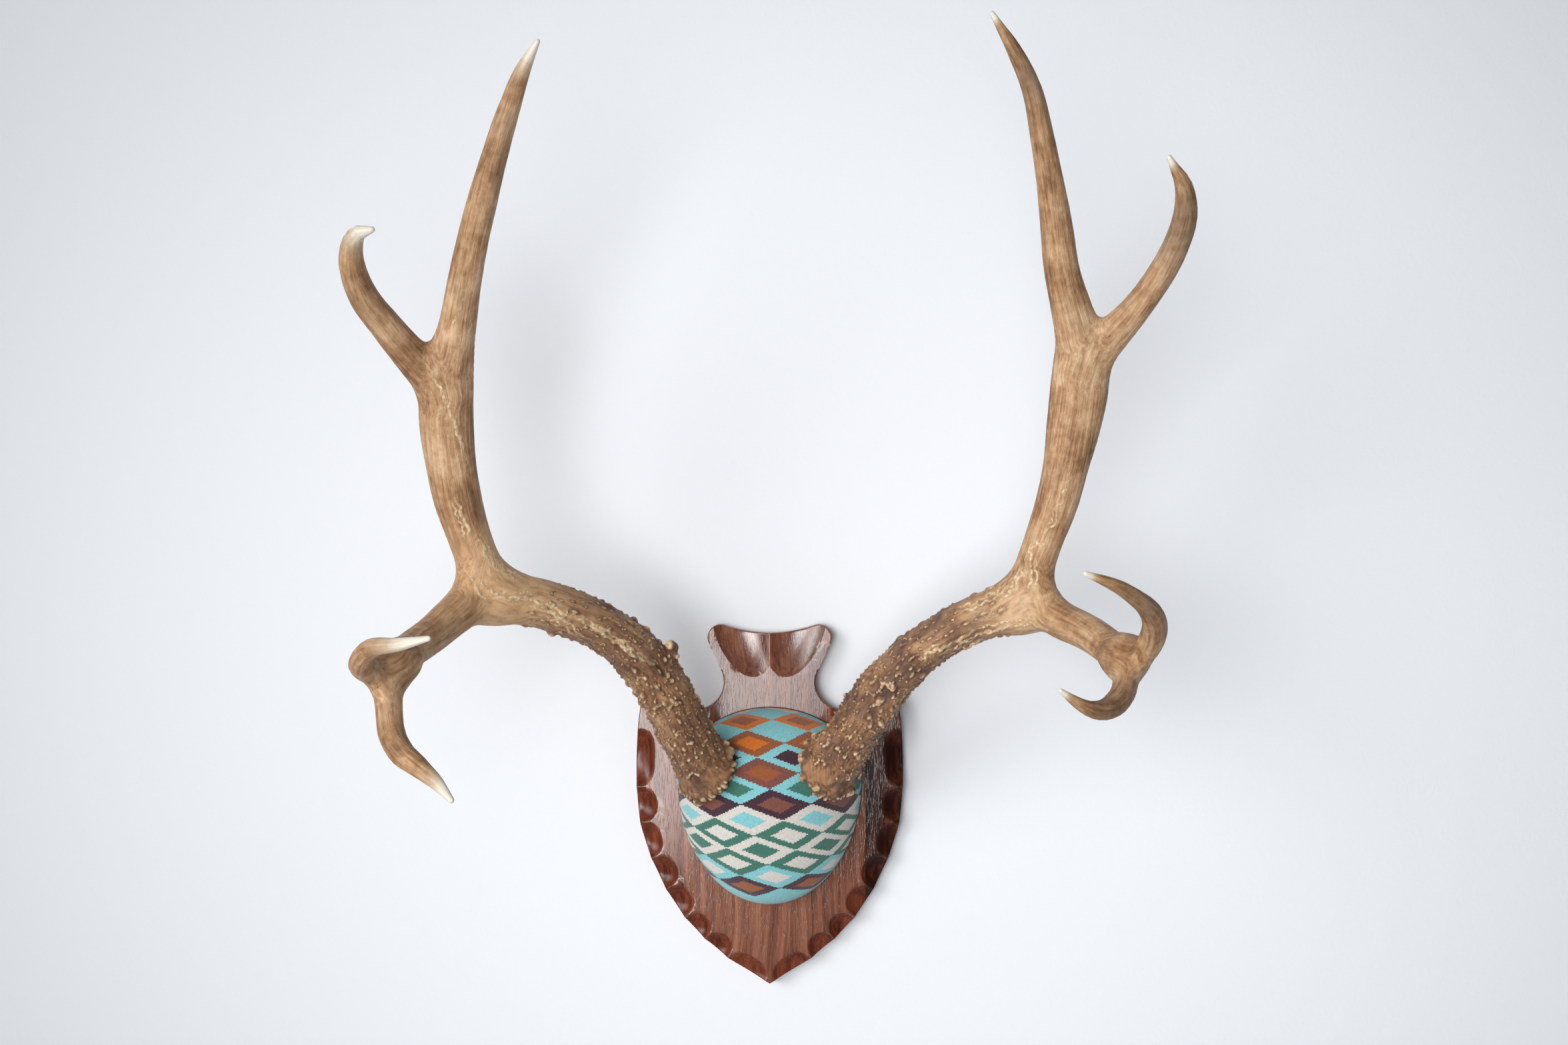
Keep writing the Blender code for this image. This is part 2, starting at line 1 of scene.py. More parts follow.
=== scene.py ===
"""The looks of the deer antler trophy mount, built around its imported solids.

Metres, +Z up. The wall is the plane y = 0, the front faces -Y, and +X is the viewer's right.
"""

import math

import bmesh
import bpy
import numpy as np
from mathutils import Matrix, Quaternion, Vector, geometry, kdtree
from mathutils.bvhtree import BVHTree


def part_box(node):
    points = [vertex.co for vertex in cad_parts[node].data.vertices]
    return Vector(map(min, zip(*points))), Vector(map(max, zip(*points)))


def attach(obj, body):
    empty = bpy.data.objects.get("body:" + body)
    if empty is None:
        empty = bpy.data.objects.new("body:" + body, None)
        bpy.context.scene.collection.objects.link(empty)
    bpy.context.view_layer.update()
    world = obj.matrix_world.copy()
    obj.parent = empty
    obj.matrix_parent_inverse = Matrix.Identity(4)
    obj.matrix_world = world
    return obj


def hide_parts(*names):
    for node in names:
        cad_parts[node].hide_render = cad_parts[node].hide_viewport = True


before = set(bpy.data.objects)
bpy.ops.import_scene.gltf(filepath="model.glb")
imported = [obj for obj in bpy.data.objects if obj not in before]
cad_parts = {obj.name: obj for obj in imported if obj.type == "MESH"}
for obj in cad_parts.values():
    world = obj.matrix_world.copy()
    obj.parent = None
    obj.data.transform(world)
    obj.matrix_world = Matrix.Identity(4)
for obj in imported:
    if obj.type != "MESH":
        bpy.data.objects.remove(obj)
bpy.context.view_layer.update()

# Camera: the photograph's frame in pixels, the lens and where it stands
PHOTO_WIDTH = 2352
PHOTO_HEIGHT = 1568
LENS_MM = 50.0
SENSOR_MM = 36.0
CAMERA_PLACE = Vector((0.0122, -1.878, 0.2407))

# Shield: the small forms of its outline, with its overall sizes from the frame
SHIELD_LOW, SHIELD_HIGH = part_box("plaque")
SHIELD_WIDTH = SHIELD_HIGH.x - SHIELD_LOW.x
SHIELD_TOP = SHIELD_HIGH.z
SHIELD_HEIGHT = SHIELD_HIGH.z - SHIELD_LOW.z
SHIELD_THICKNESS = SHIELD_HIGH.y - SHIELD_LOW.y
SHOULDER_ROUND = 0.004
HEAD_WIDTH = 0.1062
HEAD_DIP = 0.0072
EAR_RADIUS = 0.0108
NOTCH_RADIUS = 0.0243
NOTCH_DROP = 0.0488
NECK_WIDTH = 0.0786
FLANK = (
    (0.957, 0.620), (0.990, 0.420), (1.000, 0.130), (0.968, -0.115), (0.882, -0.312),
    (0.765, -0.490), (0.611, -0.654), (0.303, -0.862), (0.000, -1.000),
)

# Scallops round the flank: start and end as shares of the flank's length, the reach inwards,
# the depth at the edge, and how square the hollow's outline is (2 is an ellipse)
SCALLOPS = (
    (0.104, 0.273, 0.0162, 0.0058, 3.2), (0.274, 0.380, 0.0170, 0.0060, 2.5),
    (0.377, 0.487, 0.0150, 0.0058, 2.4), (0.487, 0.588, 0.0174, 0.0066, 2.4),
    (0.585, 0.685, 0.0166, 0.0064, 2.3), (0.685, 0.772, 0.0152, 0.0062, 2.2),
    (0.769, 0.856, 0.0150, 0.0060, 2.2), (0.857, 0.985, 0.0138, 0.0054, 2.4),
)
GOUGE_FLOAT = 0.70
SHOULDER_GOUGE_SPAN = 0.030
SHOULDER_GOUGE_REACH = 0.016
SHOULDER_GOUGE_DEPTH = 0.0050
FLUTE_HALF_WIDTH = 0.0245
FLUTE_LENGTH = 0.0460
FLUTE_DEPTH = 0.0070
FLUTE_SPREAD = 0.0232
FLUTE_LEAN = math.radians(17.0)
ARRIS_ROUND = 0.0004
EDGE_ROUND = 0.0008
SHIELD_SHARP = math.radians(50.0)
# Where the shield's boards are glued, along X
BOARD_SEAMS = (-0.0595, 0.0179, 0.0816)

# Shield: mesh fineness
OUTLINE_STEP = 0.0014
FRONT_GRID = 0.006
FRONT_BEND = 0.000018
FRONT_EDGE = 0.00045
FRONT_PASSES = 7

# Boss
BOSS_LOW, BOSS_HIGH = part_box("covered_boss")
BOSS_HALF = (BOSS_HIGH.x - BOSS_LOW.x) / 2
BOSS_DEPTH = BOSS_HIGH.y - BOSS_LOW.y
BOSS_BASE = BOSS_HIGH.y
BOSS_WIDEST_HEIGHT = 0.020
BOSS_RISE = BOSS_HIGH.z - BOSS_WIDEST_HEIGHT
BOSS_FALL = BOSS_WIDEST_HEIGHT - BOSS_LOW.z
BOSS_TUCK = 0.0022
BOSS_TUCK_DEPTH = 0.006
BOSS_SEGMENTS = 320
BOSS_RINGS = 130
BOSS_TUCK_RINGS = 4
BOSS_INNER_RING = 0.55
BOSS_SHARP = math.radians(60.0)
TOUCH_GAP = 0.0003
# The cloth's slack, as (size of a swell, its height, seed), and the levels between which it
# sets in above the tucked foot
CLOTH_SWELLS = ((0.022, 0.00035, 3), (0.0045, 0.00006, 4))
SLACK_LEVELS = (0.03, 0.25)

# Where each burr sits: shares of the boss's half width and of its rise above the widest line
SEAT_LEFT = (-0.648, 0.230)
SEAT_RIGHT = (0.610, 0.254)

# Antlers
LEFT_HEIGHT = 0.540
RIGHT_HEIGHT = 0.558
BURR_RING_RADIUS = 0.0218
BURR_ROLL_RADIUS = 0.0048
BURR_LIFT = 0.0068
BURR_LUMPS = 9
BURR_LUMP_SHARE = 0.16
BURR_POINTS = 61
PEDICLE_RADIUS = 0.0185
PEDICLE_DEPTH = 0.016
FILLETS = {
    "pedicle": 0.010,
    "burr": 0.009,
    "back": 0.020,
    "outer": 0.009,
    "upper": 0.010,
    "lower": 0.016,
    "knob": 0.005,
}

# Branches. Each row is (aside, forward, up, radius, flatness) in hundredths of
# the antler's height from the burr's centre; a flatness under 1 presses it flat front to back.
LEFT_BRANCHES = {
    "beam": (
        (0.3, 1.4, 1.2, 3.85, 1.0), (3.0, 6.8, 7.2, 3.9, 1.0), (6.3, 12.4, 14.4, 3.75, 1.0),
        (10.5, 17.0, 19.9, 3.5, 1.0), (14.6, 20.4, 23.1, 3.4, 1.0),
        (19.0, 23.0, 25.1, 3.45, 1.0), (23.4, 25.2, 26.6, 3.5, 0.95),
        (27.6, 27.0, 27.3, 3.6, 0.95), (31.0, 29.2, 26.9, 3.1, 0.95),
        (33.5, 33.1, 24.9, 2.75, 1.0), (35.8, 38.2, 22.5, 2.5, 1.0),
        (37.9, 43.8, 20.6, 2.4, 1.0), (39.2, 47.9, 18.9, 2.2, 1.0),
    ),
    "back": (
        (29.2, 27.4, 28.0, 3.3, 0.95), (31.5, 29.5, 35.1, 3.0, 0.95),
        (33.2, 31.5, 41.6, 3.35, 0.9), (33.9, 33.4, 47.0, 3.5, 0.82),
        (34.2, 35.2, 53.0, 3.75, 0.72), (33.6, 37.1, 58.8, 3.5, 0.72),
        (32.2, 39.0, 63.8, 2.65, 0.9), (30.8, 41.5, 69.9, 2.3, 1.0),
        (29.4, 43.6, 75.2, 2.15, 1.0), (27.6, 46.0, 80.9, 2.0, 1.0),
        (25.6, 48.4, 86.7, 1.7, 1.0), (23.4, 50.6, 92.4, 1.4, 1.0),
        (21.7, 51.9, 96.5, 1.05, 1.0), (19.6, 52.8, 100.2, 0.35, 1.0),
    ),
    "outer": (
        (34.6, 36.4, 56.6, 3.2, 0.75), (38.1, 38.8, 60.3, 2.5, 0.85),
        (41.2, 41.7, 64.3, 2.15, 1.0), (43.7, 44.3, 67.9, 2.0, 1.0),
        (44.7, 46.7, 71.2, 1.75, 1.0), (44.5, 48.9, 73.9, 1.5, 1.0),
        (43.4, 50.7, 75.5, 1.1, 1.0), (41.2, 52.2, 75.9, 0.45, 1.0),
    ),
    "upper": (
        (38.4, 46.2, 19.6, 2.2, 1.0), (40.9, 51.2, 18.5, 1.75, 1.0),
        (41.9, 56.0, 19.7, 1.55, 1.0), (39.7, 60.4, 22.0, 1.25, 1.0),
        (35.6, 64.0, 22.7, 0.85, 1.0), (31.4, 67.0, 23.6, 0.35, 1.0),
    ),
    "lower": (
        (39.1, 47.4, 19.2, 2.2, 1.0), (39.3, 50.4, 15.8, 1.85, 1.0),
        (38.9, 52.3, 13.2, 1.75, 1.0), (38.2, 54.3, 10.6, 1.75, 1.0),
        (36.7, 56.4, 8.6, 1.65, 1.0), (33.9, 58.9, 6.8, 1.35, 1.0), (31.3, 61.2, 5.1, 0.9, 1.0),
        (29.2, 63.1, 3.2, 0.4, 1.0),
    ),
    "knob": (
        (5.6, 14.0, 15.6, 1.9, 1.0), (4.3, 14.7, 18.6, 1.0, 1.0), (3.9, 14.9, 19.5, 0.75, 1.0),
    ),
}
RIGHT_BRANCHES = {
    "beam": (
        (0.2, 1.2, 1.0, 3.75, 1.0), (3.6, 6.5, 6.4, 3.55, 1.0), (6.5, 11.4, 11.5, 3.5, 1.0),
        (9.3, 15.2, 15.2, 3.2, 1.0), (12.4, 18.6, 18.6, 3.05, 1.0), (16.4, 21.6, 21.4, 3.1, 1.0),
        (20.9, 24.5, 23.7, 3.2, 0.95), (24.4, 26.3, 24.7, 3.2, 0.95),
        (27.7, 28.4, 24.7, 2.8, 0.95), (30.5, 32.4, 23.1, 2.5, 1.0),
        (33.1, 37.4, 21.8, 2.35, 1.0), (35.1, 42.1, 20.2, 2.3, 1.0),
        (36.6, 45.8, 18.9, 2.2, 1.0),
    ),
    "back": (
        (25.6, 26.6, 25.2, 3.0, 0.95), (27.9, 28.5, 33.0, 2.6, 0.95),
        (29.7, 30.1, 38.7, 2.85, 0.92), (30.8, 31.9, 44.0, 3.05, 0.88),
        (31.6, 33.7, 49.4, 3.6, 0.76), (32.2, 35.1, 54.6, 3.85, 0.7),
        (32.1, 36.6, 59.7, 3.3, 0.75), (30.6, 38.5, 64.6, 2.65, 0.9),
        (29.1, 40.6, 69.5, 2.3, 1.0), (28.2, 42.5, 74.6, 2.1, 1.0),
        (27.1, 44.6, 80.2, 1.75, 1.0), (25.8, 46.6, 85.8, 1.5, 1.0),
        (24.3, 48.4, 91.4, 1.25, 1.0), (22.2, 49.5, 95.5, 0.95, 1.0),
        (19.2, 50.2, 100.3, 0.35, 1.0),
    ),
    "outer": (
        (32.6, 36.0, 57.2, 3.0, 0.75), (35.9, 37.6, 60.8, 2.4, 0.85),
        (39.0, 39.7, 64.3, 1.95, 1.0), (41.4, 41.9, 67.9, 1.8, 1.0),
        (43.3, 44.2, 71.9, 1.7, 1.0), (44.2, 46.2, 75.8, 1.5, 1.0),
        (43.8, 47.6, 78.7, 1.15, 1.0), (41.6, 49.2, 82.4, 0.35, 1.0),
    ),
    "upper": (
        (36.4, 44.6, 19.2, 2.1, 1.0), (38.6, 48.6, 20.3, 1.7, 1.0),
        (39.2, 52.4, 23.0, 1.65, 1.0), (38.2, 55.7, 25.3, 1.4, 1.0),
        (36.1, 58.4, 27.0, 1.1, 1.0), (33.6, 60.3, 28.5, 0.85, 1.0),
        (29.2, 62.5, 30.2, 0.35, 1.0),
    ),
    "lower": (
        (36.6, 45.6, 19.0, 2.1, 1.0), (36.2, 48.8, 16.8, 1.65, 1.0),
        (35.4, 51.4, 15.0, 1.55, 1.0), (34.0, 53.7, 13.8, 1.5, 1.0),
        (32.3, 55.8, 13.3, 1.3, 1.0), (30.4, 57.7, 13.6, 1.0, 1.0), (28.6, 59.1, 14.5, 0.7, 1.0),
        (26.5, 60.4, 16.0, 0.3, 1.0),
    ),
}
# How far along the beam each branch sets out, as a share of the beam's length
SET_OUT = {"back": 0.60, "outer": 0.60, "upper": 0.97, "lower": 0.97, "knob": 0.33}
TINES = ("back", "outer", "upper", "lower")

# Pale ridges on the skin, each as (half width, height, points in the photograph's pixels)
LEFT_RIDGES = (
    (0.0017, 0.0011, ((858, 925), (879, 935), (899, 947), (920, 961), (937, 971), (950, 983),
        (981, 995))),
    (0.0011, 0.0005, ((770, 898), (794, 901), (817, 906), (841, 918), (858, 927))),
    (0.0010, 0.0006, ((804, 915), (831, 922), (852, 935), (872, 952), (892, 968))),
    (0.0012, 0.0006, ((681, 748), (691, 765), (696, 780), (703, 796), (708, 816), (713, 819))),
    (0.0012, 0.0006, ((713, 819), (720, 811), (725, 818), (729, 831), (734, 843))),
    (0.0011, 0.0005, ((729, 831), (735, 828), (742, 831), (744, 840), (749, 847), (758, 850))),
    (0.0013, 0.0005, ((708, 864), (713, 877), (718, 891), (732, 896), (753, 898), (773, 896),
        (797, 900))),
    (0.0011, 0.0005, ((742, 836), (753, 850), (770, 860), (787, 865))),
    (0.0009, 0.0004, ((623, 520), (638, 543), (652, 569), (667, 598), (679, 629), (690, 659),
        (700, 690), (701, 710), (707, 721))),
    (0.0008, 0.0003, ((696, 434), (691, 458), (683, 478), (669, 506))),
    (0.0007, 0.0003, ((705, 468), (706, 490), (706, 516))),
)
RIGHT_RIDGES = (
    (0.0010, 0.0005, ((1615, 700), (1603, 721), (1596, 745), (1586, 765), (1583, 783),
        (1571, 796), (1564, 810))),
    (0.0010, 0.0005, ((1564, 810), (1560, 824), (1552, 820), (1546, 838), (1543, 855),
        (1540, 862))),
    (0.0009, 0.0005, ((1564, 810), (1565, 820), (1562, 827))),
    (0.0012, 0.0006, ((1526, 889), (1527, 869), (1533, 858), (1538, 865), (1543, 862))),
    (0.0012, 0.0006, ((1481, 896), (1502, 888), (1515, 879), (1526, 888))),
    (0.0011, 0.0006, ((1546, 838), (1545, 851), (1548, 865), (1543, 879), (1533, 889))),
    (0.0013, 0.0007, ((1460, 955), (1481, 948), (1502, 943), (1529, 938), (1550, 938),
        (1571, 944))),
    (0.0014, 0.0009, ((1409, 975), (1426, 967), (1440, 958), (1453, 953), (1460, 948))),
    (0.0013, 0.0010, ((1388, 993), (1390, 982), (1402, 975), (1412, 972))),
    (0.0013, 0.0011, ((1321, 1020), (1329, 1025), (1338, 1034), (1343, 1032))),
    (0.0012, 0.0008, ((1433, 975), (1443, 972), (1460, 965), (1481, 957), (1495, 953))),
    (0.0012, 0.0005, ((1433, 913), (1453, 907), (1474, 898), (1495, 886), (1512, 872))),
)

# Single pearls that stand out, each as (pixel across, pixel down, radius, stretch along)
LEFT_NODULES = (
    (1005, 969, 0.0042, 1.0), (1014, 984, 0.0030, 1.2), (996, 990, 0.0026, 1.2),
    (828, 949, 0.0028, 1.3), (1012, 1054, 0.0026, 1.2), (1007, 1020, 0.0026, 1.2),
    (1019, 1083, 0.0017, 2.8), (1015, 1101, 0.0019, 1.4), (1037, 1114, 0.0025, 1.1),
    (1034, 1139, 0.0023, 1.0), (1025, 1123, 0.0019, 1.3), (1010, 1134, 0.0017, 1.4),
    (1052, 1128, 0.0017, 1.1), (1044, 1136, 0.0018, 1.4), (986, 1031, 0.0023, 1.8),
    (1008, 1050, 0.0022, 1.5), (1002, 1014, 0.0022, 1.4),
)
RIGHT_NODULES = (
    (1319, 1051, 0.0030, 1.7), (1304, 1077, 0.0025, 1.4), (1320, 1084, 0.0030, 1.1),
    (1283, 1130, 0.0026, 1.3), (1276, 1105, 0.0018, 2.4), (1257, 1123, 0.0024, 1.2),
    (1267, 1135, 0.0019, 1.2), (1268, 1093, 0.0017, 1.3), (1293, 1118, 0.0018, 1.6),
    (1340, 1032, 0.0027, 1.3), (1412, 975, 0.0024, 1.3), (1366, 1003, 0.0019, 1.3),
)

# Ridges, in the photograph's pixels: a step, how far they sway and over what length. From a half
# width in metres on, one has a thinner companion this far aside.
RIDGE_STEP = 1.5
RIDGE_SWAY = 2.4
RIDGE_WAVE = (2.6, 4.2)
BUNDLE_FROM = 0.0010
BUNDLE_SHIFT = (5.0, 9.0)
BUNDLE_SHARE = 0.7
# A ridge swells in blotches of this size. Its width, height and paleness have this middle value
# and change so much, and it is pale between these shares of its height.
RIDGE_BLOTCH = 0.006
RIDGE_WIDTHS = (1.25, 0.45)
RIDGE_HEIGHTS = (1.0, 0.7)
RIDGE_PALENESS = (0.85, 0.7)
RIDGE_PALE_FROM = (0.05, 0.8)

# Scattered pearls: how many places are tried, how far apart they keep, where along the beam they
# start, thin out and end, the least and greatest radius, how many fewer and how much smaller
# they get, where they turn lengthwise, and how pale they are
PEARL_TRIES = 5200
PEARL_GAP = 0.0054
PEARL_START = 0.006
PEARL_FADE = 0.060
PEARLED_LENGTH = 0.235
PEARL_RADII = (0.0010, 0.0024)
PEARL_LOSS = 0.85
PEARL_SHRINK = 0.35
PEARL_TURNING = (0.05, 0.16)
PEARL_PALENESS = (0.45, 1.1)
# Worms: the share of pearls that trail one, how many beads it has, their step and thickness as
# shares of the pearl's radius, and how much it winds, in radians
WORM_SHARE = 0.45
WORM_BEADS = (2, 5)
WORM_STEP = 1.15
WORM_THICKNESS = (0.6, 0.85)
WORM_WINDING = 0.55
# Beads round the burr: how many, the band that they lie in and how far out, as shares of its
# roll, their radii, how high they stand as a share of that, how long they are drawn and how pale
# they are
BEADS = 46
BEAD_BAND = (-0.7, 0.9)
BEAD_OUT = 0.7
BEAD_RADII = (0.0016, 0.0040)
BEAD_HEIGHT = (0.7, 1.3)
BEAD_STRETCH = (0.9, 1.9)
BEAD_PALENESS = (0.5, 1.1)
# A pearl further than this from the skin is dropped. Each has a wobbly outline, is pale between
# these shares of its height, and has a ring of painted shade round its foot as (place, width,
# darkness) in its own radius.
PEARL_LOST = 0.008
PEARL_WOBBLE = 0.30
PEARL_PALE_FROM = (0.40, 0.95)
PEARL_SHADE_RING = (1.15, 0.35, 0.8)

# Antlers: the fineness of their middle lines, of the rough skin and of its parts. The finest
# triangles lie this close to pearls and ridges, and an edge is split when it is so much longer
# than wanted. FAR is an edge length that is never split.
PATH_STEP = 0.006
TUBE_SIDES = 24
VOXEL = 0.0020
PEARLED_EDGE = 0.0014
FINE_EDGE = 0.00094
CULL_MARGIN = 0.048
END_STEPS = 2
TIP_EDGE = 0.0010
TIP_LENGTH = 0.022
DETAIL_REACH = 0.0032
SPLIT_ABOVE = 1.5
FAR = 1.0
# How far the golden skin spreads from the main fork
FORK_GLOW = 0.048
# How far from the upper tine's middle line its longer ivory spreads
UPPER_NEAR = 0.014
# Each antler's looks: the seed of its draws, how umber its bark and how smoky the bone below its
# ivory gets, how far down its ivory reaches, how much further on the upper tine, and how golden
# its fork is
LEFT_LOOKS = {
    "seed": 11, "umber": 0.40, "smoky": 0.30, "ivory": 0.042, "upper_ivory": 0.045, "gold": 1.20,
}
RIGHT_LOOKS = {
    "seed": 23, "umber": 0.85, "smoky": 0.80, "ivory": 0.014, "upper_ivory": 0.0, "gold": 0.35,
}
# How far up the beam its rough bark starts to thin, over what length the smoky part sets in
# below the ivory, and how far from the tip it fades out
BARK_FADE = 0.13
SMOKE_START = 0.020
SMOKE_END = (0.05, 0.11)
# Grooves of the skin as (size, reach along the branch), with their heights on the smooth tines
# and what the rough base adds, and its swellings as (size, height)
GUTTER = (0.0042, 0.014)
GUTTER_HEIGHT = (0.00020, 0.00040)
FINE_GROOVE = (0.0019, 0.007)
FINE_HEIGHT = (0.00005, 0.00028)
BROAD_SWELL = (0.016, 0.0007)
SMALL_SWELL = (0.0048, 0.0005)


def add_object(name, data):
    obj = bpy.data.objects.new(name, data)
    bpy.context.scene.collection.objects.link(obj)
    return obj


def mesh_from(name, points, faces):
    mesh = bpy.data.meshes.new(name)
    mesh.from_pydata([tuple(point) for point in points], [], [tuple(face) for face in faces])
    mesh.update()
    return mesh


def paint(mesh, name, values):
    """Stores one number, or one vector, for each point of a mesh."""
    kind, key = ("FLOAT", "value") if values.ndim == 1 else ("FLOAT_VECTOR", "vector")
    layer = mesh.attributes.new(name, kind, "POINT")
    layer.data.foreach_set(key, values.astype(np.float32).ravel())


def finish_piece(obj, material, slot, *nodes):
    obj.data.materials.append(material)
    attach(obj, "root")
    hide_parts(*nodes)


# Smooth noise

NOISE_CELLS = 48
NOISE_GRID = np.random.default_rng(7).uniform(-1.0, 1.0, (NOISE_CELLS,) * 3)
STREAK_STEPS = 9
STREAK_GAIN = 3.5


def noise(points, size, seed=0):
    """Smooth noise between -1 and 1 whose blotches are about this size."""
    place = points / size + seed * 17.37
    cell = np.floor(place).astype(int)
    part = place - cell
    part = part * part * (3.0 - 2.0 * part)
    total = np.zeros(len(points))
    for corner in range(8):
        step = np.array([corner & 1, corner >> 1 & 1, corner >> 2 & 1])
        at = (cell + step) % NOISE_CELLS
        weight = np.where(step == 1, part, 1.0 - part).prod(axis=1)
        total += NOISE_GRID[at[:, 0], at[:, 1], at[:, 2]] * weight
    return total


def streaks(points, headings, size, reach, seed=0):
    """Noise drawn out along the headings."""
    total = np.zeros(len(points))
    for step in np.linspace(-reach, reach, STREAK_STEPS):
        total += noise(points + headings * step, size, seed)
    return np.clip(total / STREAK_STEPS * STREAK_GAIN, -1.0, 1.0)


def ease(values, start, end):
    """A smooth step from 0 at start to 1 at end."""
    t = np.clip((values - start) / (end - start), 0.0, 1.0)
    return t * t * (3.0 - 2.0 * t)


def between(low, high, share):
    return low + (high - low) * share


def unit(vectors):
    """Each row of vectors at length 1."""
    return vectors / np.maximum(np.linalg.norm(vectors, axis=-1, keepdims=True), 1e-6)


def tree_of(points):
    """A tree that finds the nearest of the points."""
    tree = kdtree.KDTree(len(points))
    for index, point in enumerate(points):
        tree.insert(point, index)
    tree.balance()
    return tree


# Triangle meshes that get finer where they need to

def unique_edges(faces):
    """The mesh's edges as sorted pairs, and which three edges each face has."""
    pairs = np.sort(faces[:, [0, 1, 1, 2, 2, 0]].reshape(-1, 2), axis=1)
    edges, back = np.unique(pairs, axis=0, return_inverse=True)
    return edges, back.reshape(-1, 3)


def split_edges(points, faces, edges, face_edges, wanted):
    """Halves the wanted edges and fills in the triangles on both sides of them."""
    middle = np.full(len(edges), -1)
    middle[wanted] = len(points) + np.arange(wanted.sum())
    points = np.vstack([points, points[edges[wanted]].mean(axis=1)])
    cut = middle[face_edges]
    pattern = (cut >= 0) @ np.array([1, 2, 4])
    parts = [faces[pattern == 0]]
    for turn in range(3):
        order = [(turn + k) % 3 for k in range(3)]
        one = pattern == 1 << turn
        a, b, c = faces[one][:, order].T
        m = cut[one][:, turn]
        parts += [np.stack([a, m, c], 1), np.stack([m, b, c], 1)]
        two = pattern == (1 << turn | 1 << (turn + 1) % 3)
        a, b, c = faces[two][:, order].T
        m = cut[two][:, turn]
        n = cut[two][:, (turn + 1) % 3]
        parts += [np.stack([m, b, n], 1), np.stack([a, m, n], 1), np.stack([a, n, c], 1)]
    a, b, c = faces[pattern == 7].T
    m, n, o = cut[pattern == 7].T
    parts += [np.stack([a, m, o], 1), np.stack([m, b, n], 1)]
    parts += [np.stack([o, n, c], 1), np.stack([m, n, o], 1)]
    return points, np.vstack(parts)


# Curves

def hermite(points, distances, at):
    """A smooth curve through points, read at the distances in at."""
    slopes = np.gradient(points, distances, axis=0)
    index = np.clip(np.searchsorted(distances, at, side="right") - 1, 0, len(points) - 2)
    span = (distances[index + 1] - distances[index])[:, None]
    t = (at - distances[index])[:, None] / span
    start = (2 * t**3 - 3 * t**2 + 1) * points[index]
    start_slope = (t**3 - 2 * t**2 + t) * span * slopes[index]
    end = (3 * t**2 - 2 * t**3) * points[index + 1]
    end_slope = (t**3 - t**2) * span * slopes[index + 1]
    return start + start_slope + end + end_slope


def lengths_along(points):
    gaps = np.linalg.norm(np.diff(points, axis=0), axis=1)
    return np.concatenate([[0.0], np.cumsum(gaps)])


def smooth_path(points, step, place=slice(0, 3)):
    """Points a step apart along a smooth curve through given ones."""
    points = np.array(points, dtype=float)
    distances = lengths_along(points[:, place])
    count = max(2, int(math.ceil(distances[-1] / step))) + 1
    return hermite(points, distances, np.linspace(0.0, distances[-1], count))


def arc(centre, radius, start, end):
    """Points on an arc from one angle to another."""
    steps = max(3, int(abs(end - start) * radius / OUTLINE_STEP) + 2)
    angles = np.linspace(start, end, steps)
    return [(centre[0] + radius * math.cos(a), centre[1] + radius * math.sin(a)) for a in angles]


# Shield

def flank_points(step):
    half = np.array([SHIELD_WIDTH / 2, SHIELD_HEIGHT / 2])
    return smooth_path(np.array(FLANK) * half, step, slice(0, 2))


def shield_half_outline():
    """The right half, from the middle of the head round to the tip."""
    ear = (HEAD_WIDTH / 2 - EAR_RADIUS, SHIELD_TOP - EAR_RADIUS)
    notch = (NECK_WIDTH / 2 + NOTCH_RADIUS, SHIELD_TOP - NOTCH_DROP)
    fall = EAR_RADIUS - HEAD_DIP
    dip_radius = (ear[0] ** 2 + fall**2 - EAR_RADIUS**2) / (2 * (EAR_RADIUS - fall))
    dip_centre = (0.0, SHIELD_TOP - HEAD_DIP + dip_radius)
    lean = math.atan2(ear[0], dip_centre[1] - ear[1])
    points = arc(dip_centre, dip_radius, -math.pi / 2, -math.pi / 2 + lean)
    apart = math.hypot(notch[0] - ear[0], notch[1] - ear[1])
    along = math.atan2(notch[1] - ear[1], notch[0] - ear[0])
    swing = math.acos(min(1.0, (EAR_RADIUS + NOTCH_RADIUS) / apart))
    points += arc(ear, EAR_RADIUS, math.pi / 2 + lean, along + swing)[1:]
    flank = flank_points(OUTLINE_STEP)
    corner = flank[0]
    reach = math.hypot(corner[0] - notch[0], corner[1] - notch[1])
    heading = math.atan2(corner[1] - notch[1], corner[0] - notch[0])
    notch_end = heading - math.acos(min(1.0, NOTCH_RADIUS / reach))
    points += arc(notch, NOTCH_RADIUS, along + swing + math.pi, notch_end + 2 * math.pi)
    shoulder = np.array(points[-1])
    start = corner + (shoulder - corner) * SHOULDER_ROUND / np.linalg.norm(shoulder - corner)
    beyond = int(SHOULDER_ROUND / OUTLINE_STEP) + 1
    for t in np.linspace(0.0, 1.0, 6):
        points.append(tuple((1 - t) ** 2 * start + 2 * t * (1 - t) * corner + t**2 * flank[beyond]))
    points += [tuple(point) for point in flank[beyond + 1:]]
    return points


def shield_outline():
    right = shield_half_outline()
    return np.array(right + [(-x, z) for x, z in reversed(right[1:-1])])


